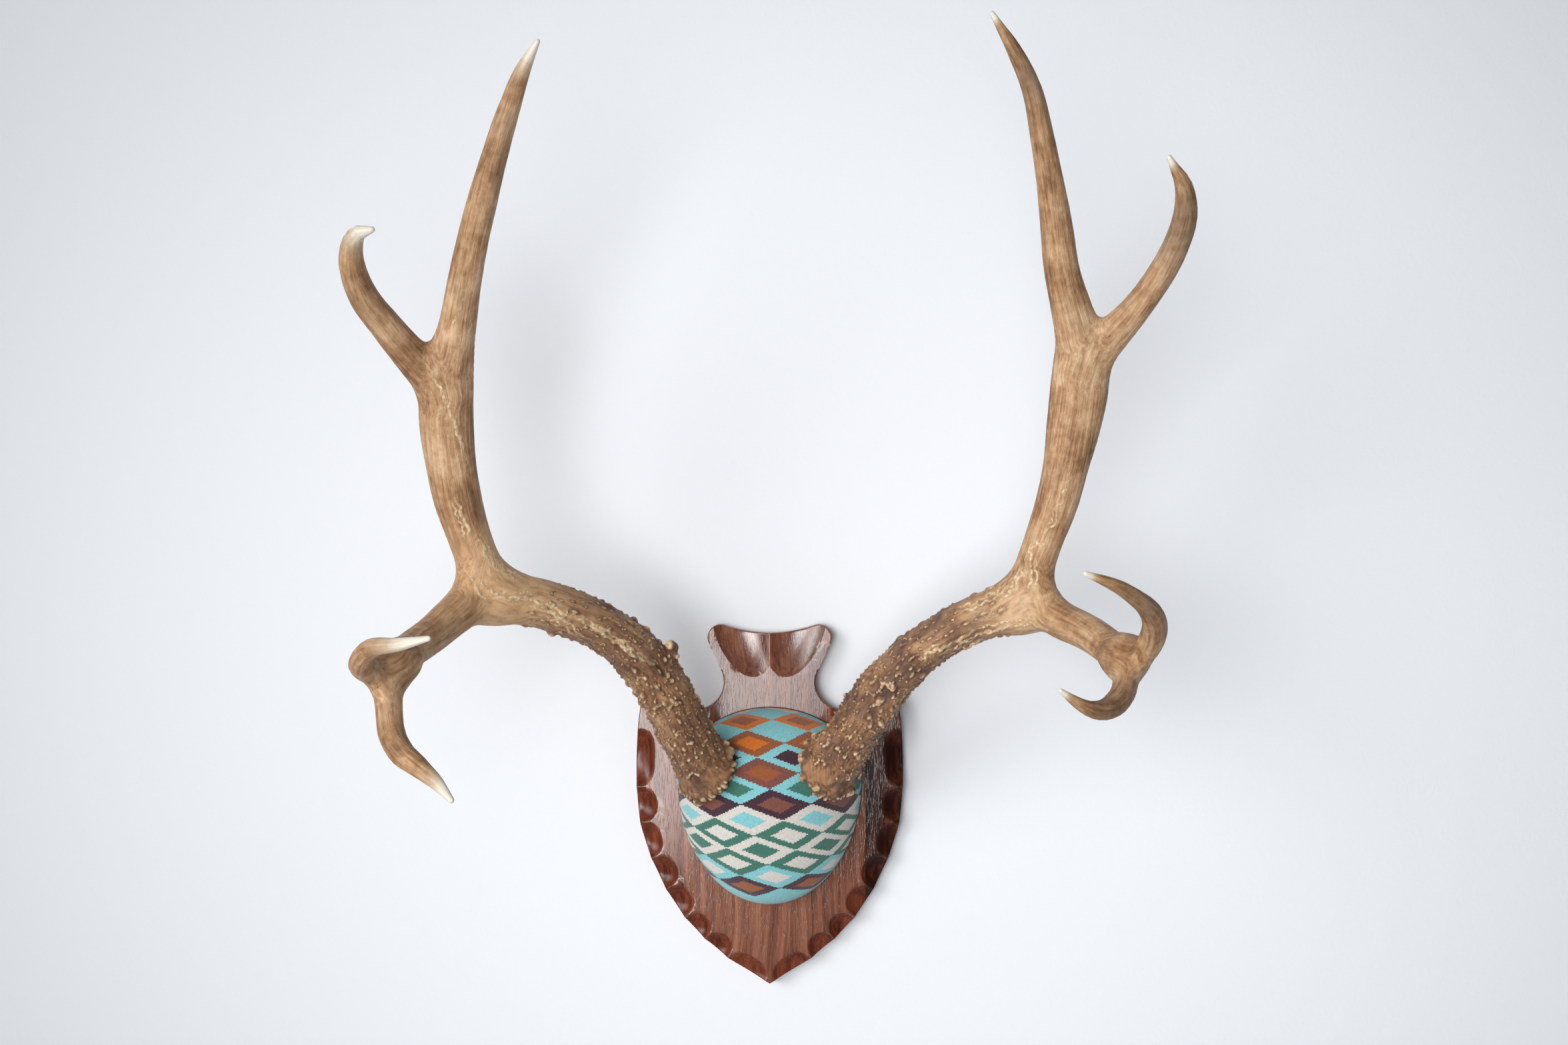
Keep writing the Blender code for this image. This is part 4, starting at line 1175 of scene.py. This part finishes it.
def make_antler_mesh(name, antler, ridges, nodules, looks):
    """One antler's skin, with what its material needs painted on its points."""
    seed = looks["seed"]
    rng = np.random.default_rng(seed)
    points, faces = rough_skin(antler)
    points = antler.onto_skin(points, 4)
    tree = BVHTree.FromPolygons([Vector(point) for point in points], faces.tolist())
    pearls = pixel_pearls(tree, nodules) + scattered_pearls(antler, rng) + burr_beads(antler, rng)
    spots = ridge_spots(tree, ridges, rng)
    points, faces = fine_skin(antler, points, faces, pearls, spots)
    _, traits = antler.blended(points)
    out, headings = unit(traits[:, :3]), unit(traits[:, 3:6])
    station, left = traits[:, 6], traits[:, 9]
    rise, pale, dark = raise_pearls(points, out, headings, pearls)
    ridge_rise, ridge_pale = raise_ridges(points, spots)

    upper = antler.branches["upper"].places
    near_upper = np.linalg.norm(points[:, None] - upper[::2], axis=2).min(axis=1)
    reach = looks["ivory"] + looks["upper_ivory"] * np.exp(-((near_upper / UPPER_NEAR) ** 2))
    polish = 1.0 - ease(left, 0.15 * reach, reach)
    smoke = ease(left, reach, reach + SMOKE_START) * (1.0 - ease(left, *SMOKE_END))
    rough = 1.0 - ease(station, BARK_FADE, antler.branches["beam"].stations[-1] * 0.66)
    fork = antler.branches["back"].places[0]
    near_fork = np.linalg.norm(points - fork, axis=1)
    gold = looks["gold"] * np.exp(-((near_fork / FORK_GLOW) ** 2))

    gutters = streaks(points, headings, *GUTTER, seed)
    fine = streaks(points, headings, *FINE_GROOVE, seed + 1)
    bark = gutters * (GUTTER_HEIGHT[0] + GUTTER_HEIGHT[1] * rough)
    bark += fine * (FINE_HEIGHT[0] + FINE_HEIGHT[1] * rough)
    for number, (size, height) in enumerate((BROAD_SWELL, SMALL_SWELL)):
        bark += noise(points, size, seed + 2 + number) * height * rough
    bark *= 1.0 - 0.9 * polish
    points = clear_of_boss(points + out * (rise + ridge_rise + bark)[:, None])
    hollow = np.clip(-(gutters + fine) / 2, 0.0, 1.0) * (0.35 + 0.65 * rough)

    mesh = mesh_from(name, points, faces)
    outward_faces(mesh)
    mesh.shade_smooth()
    paints = {
        "pale": np.maximum(pale, ridge_pale),
        # dark: the painted shade round the pearls' feet, and the darker groove hollows
        "dark": np.clip(np.maximum(dark * (1.0 - pale), hollow), 0.0, 1.0),
        "polish": polish,
        "rough": rough,
        "gold": gold,
        "smoke": smoke,
        "flow": np.column_stack([station, traits[:, 7:9]]),
    }
    for layer, values in paints.items():
        paint(mesh, layer, values)
    return mesh


# Materials

class Nodes:
    """A material's nodes, made and linked in short calls."""

    def __init__(self, name):
        self.material = bpy.data.materials.new(name)
        self.material.use_nodes = True
        self.tree = self.material.node_tree
        self.shader = self.tree.nodes["Principled BSDF"]

    def add(self, kind, **settings):
        node = self.tree.nodes.new(kind)
        for key, value in settings.items():
            setattr(node, key, value)
        return node

    def feed(self, socket, value):
        """Links a socket to an input, or sets the input to a plain value."""
        if isinstance(value, bpy.types.NodeSocket):
            self.tree.links.new(value, socket)
        else:
            socket.default_value = value

    def attribute(self, name, output="Fac"):
        return self.add("ShaderNodeAttribute", attribute_name=name).outputs[output]

    def place(self):
        return self.add("ShaderNodeTexCoord").outputs["Object"]

    def math(self, operation, a, b=0.0, c=0.0):
        node = self.add("ShaderNodeMath", operation=operation)
        for socket, value in zip(node.inputs, (a, b, c)):
            self.feed(socket, value)
        return node.outputs[0]

    def times(self, a, b):
        return self.math("MULTIPLY", a, b)

    def times_plus(self, a, b, c):
        return self.math("MULTIPLY_ADD", a, b, c)

    def plus(self, a, b):
        return self.math("ADD", a, b)

    def minus(self, a, b):
        return self.math("SUBTRACT", a, b)

    def above(self, a, b):
        return self.math("GREATER_THAN", a, b)

    def vector(self, operation, a, b):
        node = self.add("ShaderNodeVectorMath", operation=operation)
        self.feed(node.inputs[0], a)
        self.feed(node.inputs[1], b)
        return node.outputs[0]

    def split(self, vector):
        node = self.add("ShaderNodeSeparateXYZ")
        self.feed(node.inputs[0], vector)
        return node.outputs

    def join(self, x, y, z):
        node = self.add("ShaderNodeCombineXYZ")
        for socket, value in zip(node.inputs, (x, y, z)):
            self.feed(socket, value)
        return node.outputs[0]

    def noise(self, vector, scale, detail=3.0, roughness=0.55, distortion=0.0, output="Fac"):
        node = self.add("ShaderNodeTexNoise")
        self.feed(node.inputs["Vector"], vector)
        self.feed(node.inputs["Scale"], scale)
        self.feed(node.inputs["Detail"], detail)
        self.feed(node.inputs["Roughness"], roughness)
        self.feed(node.inputs["Distortion"], distortion)
        return node.outputs[output]

    def step(self, value, low, high, start=0.0, end=1.0):
        """A clamped straight run from start at low to end at high."""
        node = self.add("ShaderNodeMapRange", clamp=True)
        for socket, given in zip(node.inputs, (value, low, high, start, end)):
            self.feed(socket, given)
        return node.outputs[0]

    def ramp(self, value, stops, mode="LINEAR"):
        node = self.add("ShaderNodeValToRGB")
        node.color_ramp.interpolation = mode
        elements = node.color_ramp.elements
        elements.remove(elements[1])
        elements[0].position = stops[0][0]
        elements[0].color = (*stops[0][1], 1.0)
        for position, colour in stops[1:]:
            elements.new(position).color = (*colour, 1.0)
        self.feed(node.inputs[0], value)
        return node.outputs[0]

    def mix(self, share, a, b, mode="MIX"):
        node = self.add("ShaderNodeMix", data_type="RGBA", blend_type=mode)
        self.feed(node.inputs[0], share)
        for socket, value in ((node.inputs[6], a), (node.inputs[7], b)):
            self.feed(socket, (*value, 1.0) if isinstance(value, tuple) else value)
        return node.outputs[2]

    def bump(self, height, distance, strength):
        node = self.add("ShaderNodeBump")
        self.feed(node.inputs["Height"], height)
        self.feed(node.inputs["Distance"], distance)
        self.feed(node.inputs["Strength"], strength)
        return node.outputs[0]

    def surface(self, **inputs):
        for name, value in inputs.items():
            self.feed(self.shader.inputs[name.replace("_", " ")], value)
        return self.material


def antler_material(name, umber, smoky):
    """Dry antler bone: brown bark with pale pearls, dark hollows, painted shade round the pearls'
    feet and ivory tips.
    """
    n = Nodes(name)
    place = n.place()
    flow = n.attribute("flow", "Vector")
    rough = n.attribute("rough")
    strands = n.noise(n.vector("MULTIPLY", flow, (28.0, 420.0, 420.0)), 1.0, 4.0, 0.6)
    fibres = n.noise(n.vector("MULTIPLY", flow, (120.0, 1500.0, 1500.0)), 1.0, 3.0, 0.6)
    patches = n.noise(place, 26.0, 4.0, 0.6)
    mottle = n.noise(place, 150.0, 3.0, 0.6)
    speckle = n.noise(place, 900.0, 2.0, 0.5)
    tone = n.times_plus(strands, 0.42, n.times(patches, 0.50))
    tone = n.times_plus(mottle, 0.22, tone)
    tone = n.times_plus(fibres, 0.16, tone)
    shaft = n.ramp(tone, (
        (0.44, (0.115, 0.050, 0.020)),
        (0.56, (0.290, 0.146, 0.066)),
        (0.66, (0.480, 0.276, 0.142)),
        (0.80, (0.720, 0.500, 0.310)),
    ))
    bark = n.ramp(tone, (
        (0.40, (0.036, 0.016, 0.008)),
        (0.52, (0.152, 0.068, 0.032)),
        (0.62, (0.325, 0.158, 0.073)),
        (0.74, (0.480, 0.262, 0.130)),
        (0.88, (0.640, 0.420, 0.235)),
    ))
    bark = n.mix(rough, shaft, bark)
    glow = n.times(n.attribute("gold"), n.step(strands, 0.35, 0.60, 0.35, 0.95))
    bark = n.mix(glow, bark, (0.680, 0.420, 0.220))
    shadow = n.step(n.noise(place, 34.0, 3.0, 0.6, 0.4), 0.42, 0.62, 0.10, umber)
    shadow = n.times(shadow, n.step(rough, 0.0, 0.35))
    bark = n.mix(shadow, bark, (0.120, 0.066, 0.055))
    smoke = n.times(n.attribute("smoke"), n.step(patches, 0.35, 0.60, smoky * 0.4, smoky))
    bark = n.mix(smoke, bark, n.mix(1.0, bark, (0.42, 0.42, 0.46), "MULTIPLY"))
    # Near black in the painted shade ring round each pearl's foot, and darker in the groove hollows
    dark = n.attribute("dark")
    bark = n.mix(n.times(dark, 0.70), bark, (0.030, 0.014, 0.008))
    cream = n.ramp(n.noise(place, 420.0, 3.0, 0.6), (
        (0.30, (0.38, 0.21, 0.09)),
        (0.50, (0.62, 0.43, 0.24)),
        (0.72, (0.86, 0.73, 0.53)),
    ))
    pale = n.step(n.times_plus(speckle, 0.35, n.attribute("pale")), 0.30, 1.05)
    colour = n.mix(pale, bark, cream)
    polish = n.attribute("polish")
    ivory = n.ramp(n.times_plus(strands, 0.5, n.times(polish, 0.7)), (
        (0.30, (0.40, 0.27, 0.16)),
        (0.70, (0.60, 0.46, 0.31)),
        (1.00, (0.86, 0.80, 0.69)),
    ))
    colour = n.mix(n.step(polish, 0.10, 0.90), colour, ivory)
    gloss = n.step(polish, 0.0, 1.0, 0.56, 0.30)
    gloss = n.minus(gloss, n.times(n.attribute("pale"), 0.16))
    relief = n.times_plus(fibres, 0.5, n.times(strands, 0.8))
    relief = n.times_plus(speckle, 0.25, relief)
    relief = n.times(relief, n.step(polish, 0.0, 0.8, 1.0, 0.12))
    return n.surface(Base_Color=colour, Roughness=gloss, Normal=n.bump(relief, 0.0009, 0.75),
                     Specular_IOR_Level=0.34)


def walnut_material():
    """Satin walnut boards with upright grain, redder and glossier in the gouges; the scallops below
    the flutes are redder as cut wood and darker with painted shade.
    """
    n = Nodes("walnut_carved")
    place = n.place()
    x, y, z = n.split(place)
    first, second, third = (n.above(x, seam) for seam in BOARD_SEAMS)
    board = n.plus(first, n.plus(second, third))
    shift = n.times(board, 3.71)
    drift = n.times(n.noise(n.join(shift, z, 0.0), 9.0, 2.0), 0.02)
    grain_place = n.join(n.plus(n.plus(x, drift), shift), n.times(y, 2.0), n.times(z, 0.045))
    bands = n.noise(grain_place, 75.0, 4.0, 0.62, 0.6)
    lines = n.noise(grain_place, 420.0, 3.0, 0.6)
    pore_place = n.join(n.plus(x, shift), y, n.times(z, 0.08))
    pores = n.step(n.noise(pore_place, 1300.0, 2.0, 0.5), 0.36, 0.46)
    tone = n.times_plus(lines, 0.35, n.times(bands, 0.75))
    tone = n.plus(tone, n.times(n.noise(n.join(shift, 0.0, 0.0), 5.0), 0.22))
    tone = n.minus(tone, n.step(third, 0.0, 1.0, 0.05, 0.22))
    wood = n.ramp(tone, (
        (0.38, (0.030, 0.010, 0.005)),
        (0.50, (0.105, 0.034, 0.018)),
        (0.62, (0.200, 0.071, 0.040)),
        (0.78, (0.330, 0.135, 0.080)),
    ))
    cut = n.step(y, -SHIELD_THICKNESS + 0.0001, -SHIELD_THICKNESS + 0.0012)
    # The scallops below the flutes: redder cut wood, and darker with painted shade in their hollows
    scallop = n.times(cut, n.step(z, 0.09, 0.10, 1.0, 0.0))
    redder_and_shaded = n.mix(1.0, wood, (0.62, 0.33, 0.22), "MULTIPLY")
    wood = n.mix(n.times(scallop, 0.85), wood, redder_and_shaded)
    wood = n.mix(n.times(n.minus(1.0, pores), 0.35), wood, (0.03, 0.012, 0.008))
    for seam in BOARD_SEAMS:
        near = n.step(n.math("ABSOLUTE", n.minus(x, seam)), 0.00008, 0.00035, 0.5, 0.0)
        wood = n.mix(near, wood, (0.03, 0.013, 0.009))
    gloss = n.times_plus(lines, 0.10, n.step(cut, 0.0, 1.0, 0.07, 0.13))
    relief = n.plus(n.times(pores, 0.6), n.times(lines, 0.4))
    shine = n.times_plus(n.minus(cut, scallop), 0.30, n.step(scallop, 0.0, 1.0, 0.46, 0.24))
    return n.surface(Base_Color=wood, Roughness=gloss, Normal=n.bump(relief, 0.00007, 0.5),
                     Specular_IOR_Level=shine)


# Cloth: the size of a woven step, the lozenges' size in steps, their lean, and the share of one
# that is its core
WEAVE_CELL = 0.0011
LOZENGE_WIDTH = 54.0
LOZENGE_HEIGHT = 24.0
LOZENGE_LEAN = 0.42
LOZENGE_CORE = 0.27
TURQUOISE = (0.270, 0.660, 0.700)
ORANGE = (0.760, 0.190, 0.014)
RUST = (0.360, 0.105, 0.036)
MAROON = (0.235, 0.080, 0.060)
PLUM = (0.062, 0.026, 0.040)
GREEN = (0.058, 0.200, 0.150)
CREAM = (0.780, 0.740, 0.680)
TAN = (0.800, 0.600, 0.360)
# Rows of lozenges from the boss's foot to its top, each with its rim's and its core's colour
LOZENGE_ROWS = (
    (TURQUOISE, TURQUOISE), (PLUM, RUST), (TURQUOISE, CREAM), (GREEN, CREAM), (CREAM, GREEN),
    (GREEN, CREAM), (CREAM, TURQUOISE), (PLUM, MAROON), (TURQUOISE, GREEN), (MAROON, RUST),
    (TURQUOISE, PLUM), (RUST, ORANGE), (TURQUOISE, TURQUOISE), (ORANGE, RUST),
    (TURQUOISE, TURQUOISE), (CREAM, TAN), (TURQUOISE, TURQUOISE), (TAN, CREAM),
)


def cloth_material():
    """Felted wool with rows of leaning stepped lozenges."""
    n = Nodes("wool_stepped_lozenges")
    cloth = n.attribute("cloth", "Vector")
    fuzz = n.noise(cloth, 1500.0, 2.0, 0.5, output="Color")
    fray = n.vector("MULTIPLY", n.vector("SUBTRACT", fuzz, (0.5, 0.5, 0.5)), (0.0012, 0.0012, 0.0))
    cells = n.vector("DIVIDE", n.vector("ADD", cloth, fray), (WEAVE_CELL, WEAVE_CELL, 1.0))
    across, up, _ = n.split(n.vector("FLOOR", cells, (0, 0, 0)))
    across = n.math("DIVIDE", n.times_plus(up, LOZENGE_LEAN, across), LOZENGE_WIDTH)
    up = n.math("DIVIDE", up, LOZENGE_HEIGHT)
    rising = n.plus(up, across)
    falling = n.minus(up, across)
    row = n.plus(n.math("FLOOR", rising), n.math("FLOOR", falling))
    sides = [n.minus(n.math("FRACT", side), 0.5) for side in (rising, falling)]
    sides = [n.math("ABSOLUTE", side) for side in sides]
    core = n.math("LESS_THAN", n.math("MAXIMUM", *sides), LOZENGE_CORE)
    count = len(LOZENGE_ROWS)
    order = n.math("DIVIDE", n.plus(row, count / 2 + 0.5), count)
    starts = [index / count for index in range(count)]
    rims, cores = (n.ramp(order, list(zip(starts, colours)), "CONSTANT")
                   for colours in zip(*LOZENGE_ROWS))
    colour = n.mix(core, rims, cores)
    shade = n.noise(cloth, 2600.0, 2.0, 0.6)
    worn = n.noise(cloth, 420.0, 3.0, 0.65)
    nap = n.times_plus(worn, 0.45, n.times(shade, 0.65))
    nap = n.ramp(nap, ((0.38, (0.42, 0.42, 0.42)), (0.68, (1.0, 1.0, 1.0))))
    colour = n.mix(0.62, colour, nap, "MULTIPLY")
    fibres = n.step(n.noise(cloth, 3400.0, 1.0, 0.5), 0.60, 0.75, 0.0, 0.30)
    colour = n.mix(fibres, colour, (0.80, 0.78, 0.74))
    relief = n.times_plus(shade, 0.5, worn)
    return n.surface(Base_Color=colour, Roughness=0.95, Normal=n.bump(relief, 0.0007, 0.7),
                     Specular_IOR_Level=0.12, Sheen_Weight=0.25, Sheen_Roughness=0.5)


def stage_material(name, colour, size):
    """Pale paint that is see-through from behind, so that back views aren't blocked."""
    n = Nodes(name)
    relief = n.noise(n.place(), size, 3.0, 0.55)
    n.surface(Base_Color=(*colour, 1.0), Roughness=0.75, Normal=n.bump(relief, 0.0012, 0.22))
    clear = n.add("ShaderNodeBsdfTransparent")
    mixer = n.add("ShaderNodeMixShader")
    n.feed(mixer.inputs[0], n.add("ShaderNodeNewGeometry").outputs["Backfacing"])
    n.feed(mixer.inputs[1], n.shader.outputs[0])
    n.feed(mixer.inputs[2], clear.outputs[0])
    output = n.tree.nodes["Material Output"]
    n.feed(output.inputs["Surface"], mixer.outputs[0])
    return n.material


# Stage, lights and camera

WALL_GAP = 0.0005
WALL_HALF = 2.6
WALL_TOP = 2.2
WALL_COLOUR = (0.84, 0.86, 0.89)
WALL_GRAIN = 260.0
FLOOR_HEIGHT = -0.70
FLOOR_REACH = 4.0
FLOOR_COLOUR = (0.80, 0.80, 0.80)
FLOOR_GRAIN = 30.0
HOLE_INSET = 0.002
SKY_COLOUR = (0.86, 0.92, 1.0, 1.0)
SKY_STRENGTH = 0.14
# Lights as (place, aim, size, watts, spread and turn in degrees)
LIGHTS = {
    "window": ((-1.65, -2.3, 0.9), (0.18, 0.0, 0.26), (2.5, 2.4), 10.3, 45.0, 0.0),
    "veil": ((-0.47, -2.6, 0.09), (0.08, 0.0, 0.17), (1.1, 1.1), 4.3, 52.0, 38.0),
    "behind": ((0.4, 1.8, 0.9), (0.0, 0.0, 0.1), (1.6, 1.6), 26.0, 180.0, 0.0),
}


def rectangle(left, right, low, high):
    return [(left, low), (right, low), (right, high), (left, high)]


def make_stage():
    """A floor, and a wall with an opening behind the shield, so that its back gets light."""
    wall = rectangle(-WALL_HALF, WALL_HALF, FLOOR_HEIGHT, WALL_TOP)
    outline = shield_outline()
    along = np.roll(outline, -1, axis=0) - np.roll(outline, 1, axis=0)
    inward = unit(np.stack([along[:, 1], -along[:, 0]], axis=1))
    hole = [tuple(point) for point in reversed(outline + inward * HOLE_INSET)]
    flat = [Vector(point) for point in wall + hole]
    rings = [list(range(len(wall))), list(range(len(wall), len(flat)))]
    places, _, faces, _, _, parents = geometry.delaunay_2d_cdt(flat, [], rings, 1, 1e-6)
    faces = [face for face, parent in zip(faces, parents) if 1 not in parent]
    mesh = mesh_from("wall", [(place.x, WALL_GAP, place.y) for place in places], faces)
    if mesh.polygons[0].normal.y > 0.0:
        mesh.flip_normals()
    mesh.materials.append(stage_material("wall_paint", WALL_COLOUR, WALL_GRAIN))
    ground = rectangle(-FLOOR_REACH, FLOOR_REACH, -FLOOR_REACH, WALL_GAP)
    floor_mesh = mesh_from("floor", [(x, y, FLOOR_HEIGHT) for x, y in ground], [(0, 1, 2, 3)])
    floor_mesh.materials.append(stage_material("floor_paint", FLOOR_COLOUR, FLOOR_GRAIN))
    wall_object = add_object("wall", mesh)
    floor_object = add_object("floor", floor_mesh)


def add_light(name, place, aim, size, power, spread, turn):
    data = bpy.data.lights.new(name, "AREA")
    data.shape = "RECTANGLE"
    data.size, data.size_y = size
    data.energy = power
    data.spread = math.radians(spread)
    light = add_object(name, data)
    light.location = place
    facing = (Vector(aim) - Vector(place)).to_track_quat("-Z", "Y")
    light.rotation_euler = (facing @ Quaternion((0.0, 0.0, 1.0), math.radians(turn))).to_euler()
    light.visible_camera = False


def make_lights():
    for name, settings in LIGHTS.items():
        add_light(name, *settings)
    world = bpy.data.worlds.new("studio")
    world.use_nodes = True
    backdrop = world.node_tree.nodes["Background"]
    backdrop.inputs["Color"].default_value = SKY_COLOUR
    backdrop.inputs["Strength"].default_value = SKY_STRENGTH
    bpy.context.scene.world = world
    bpy.context.scene.view_settings.view_transform = "Standard"


def make_camera():
    data = bpy.data.cameras.new("camera")
    data.lens = LENS_MM
    data.sensor_fit = "HORIZONTAL"
    data.sensor_width = SENSOR_MM
    camera = add_object("camera", data)
    camera.location = CAMERA_PLACE
    camera.rotation_euler = (math.pi / 2, 0.0, 0.0)
    bpy.context.scene.camera = camera


def main():
    make_camera()
    make_stage()
    make_lights()
    shield = add_object("carved_shield", make_shield_mesh())
    finish_piece(shield, walnut_material(), "walnut", "plaque")
    boss = add_object("cloth_boss", make_boss_mesh())
    finish_piece(boss, cloth_material(), "wool_cloth", "covered_boss")
    antlers = (
        ("left", LEFT_BRANCHES, LEFT_HEIGHT, -1, SEAT_LEFT,
         LEFT_RIDGES, LEFT_NODULES, LEFT_LOOKS),
        ("right", RIGHT_BRANCHES, RIGHT_HEIGHT, 1, SEAT_RIGHT,
         RIGHT_RIDGES, RIGHT_NODULES, RIGHT_LOOKS),
    )
    for word, tables, height, side, seat, ridges, nodules, looks in antlers:
        antler = Antler(tables, height, side, seat)
        mesh = make_antler_mesh("bone_" + word, antler, ridges, nodules, looks)
        piece = add_object("pearled_antler_" + word, mesh)
        material = antler_material("antler_bone_" + word, looks["umber"], looks["smoky"])
        finish_piece(piece, material, "antler_bone", "antler_" + word)


main()
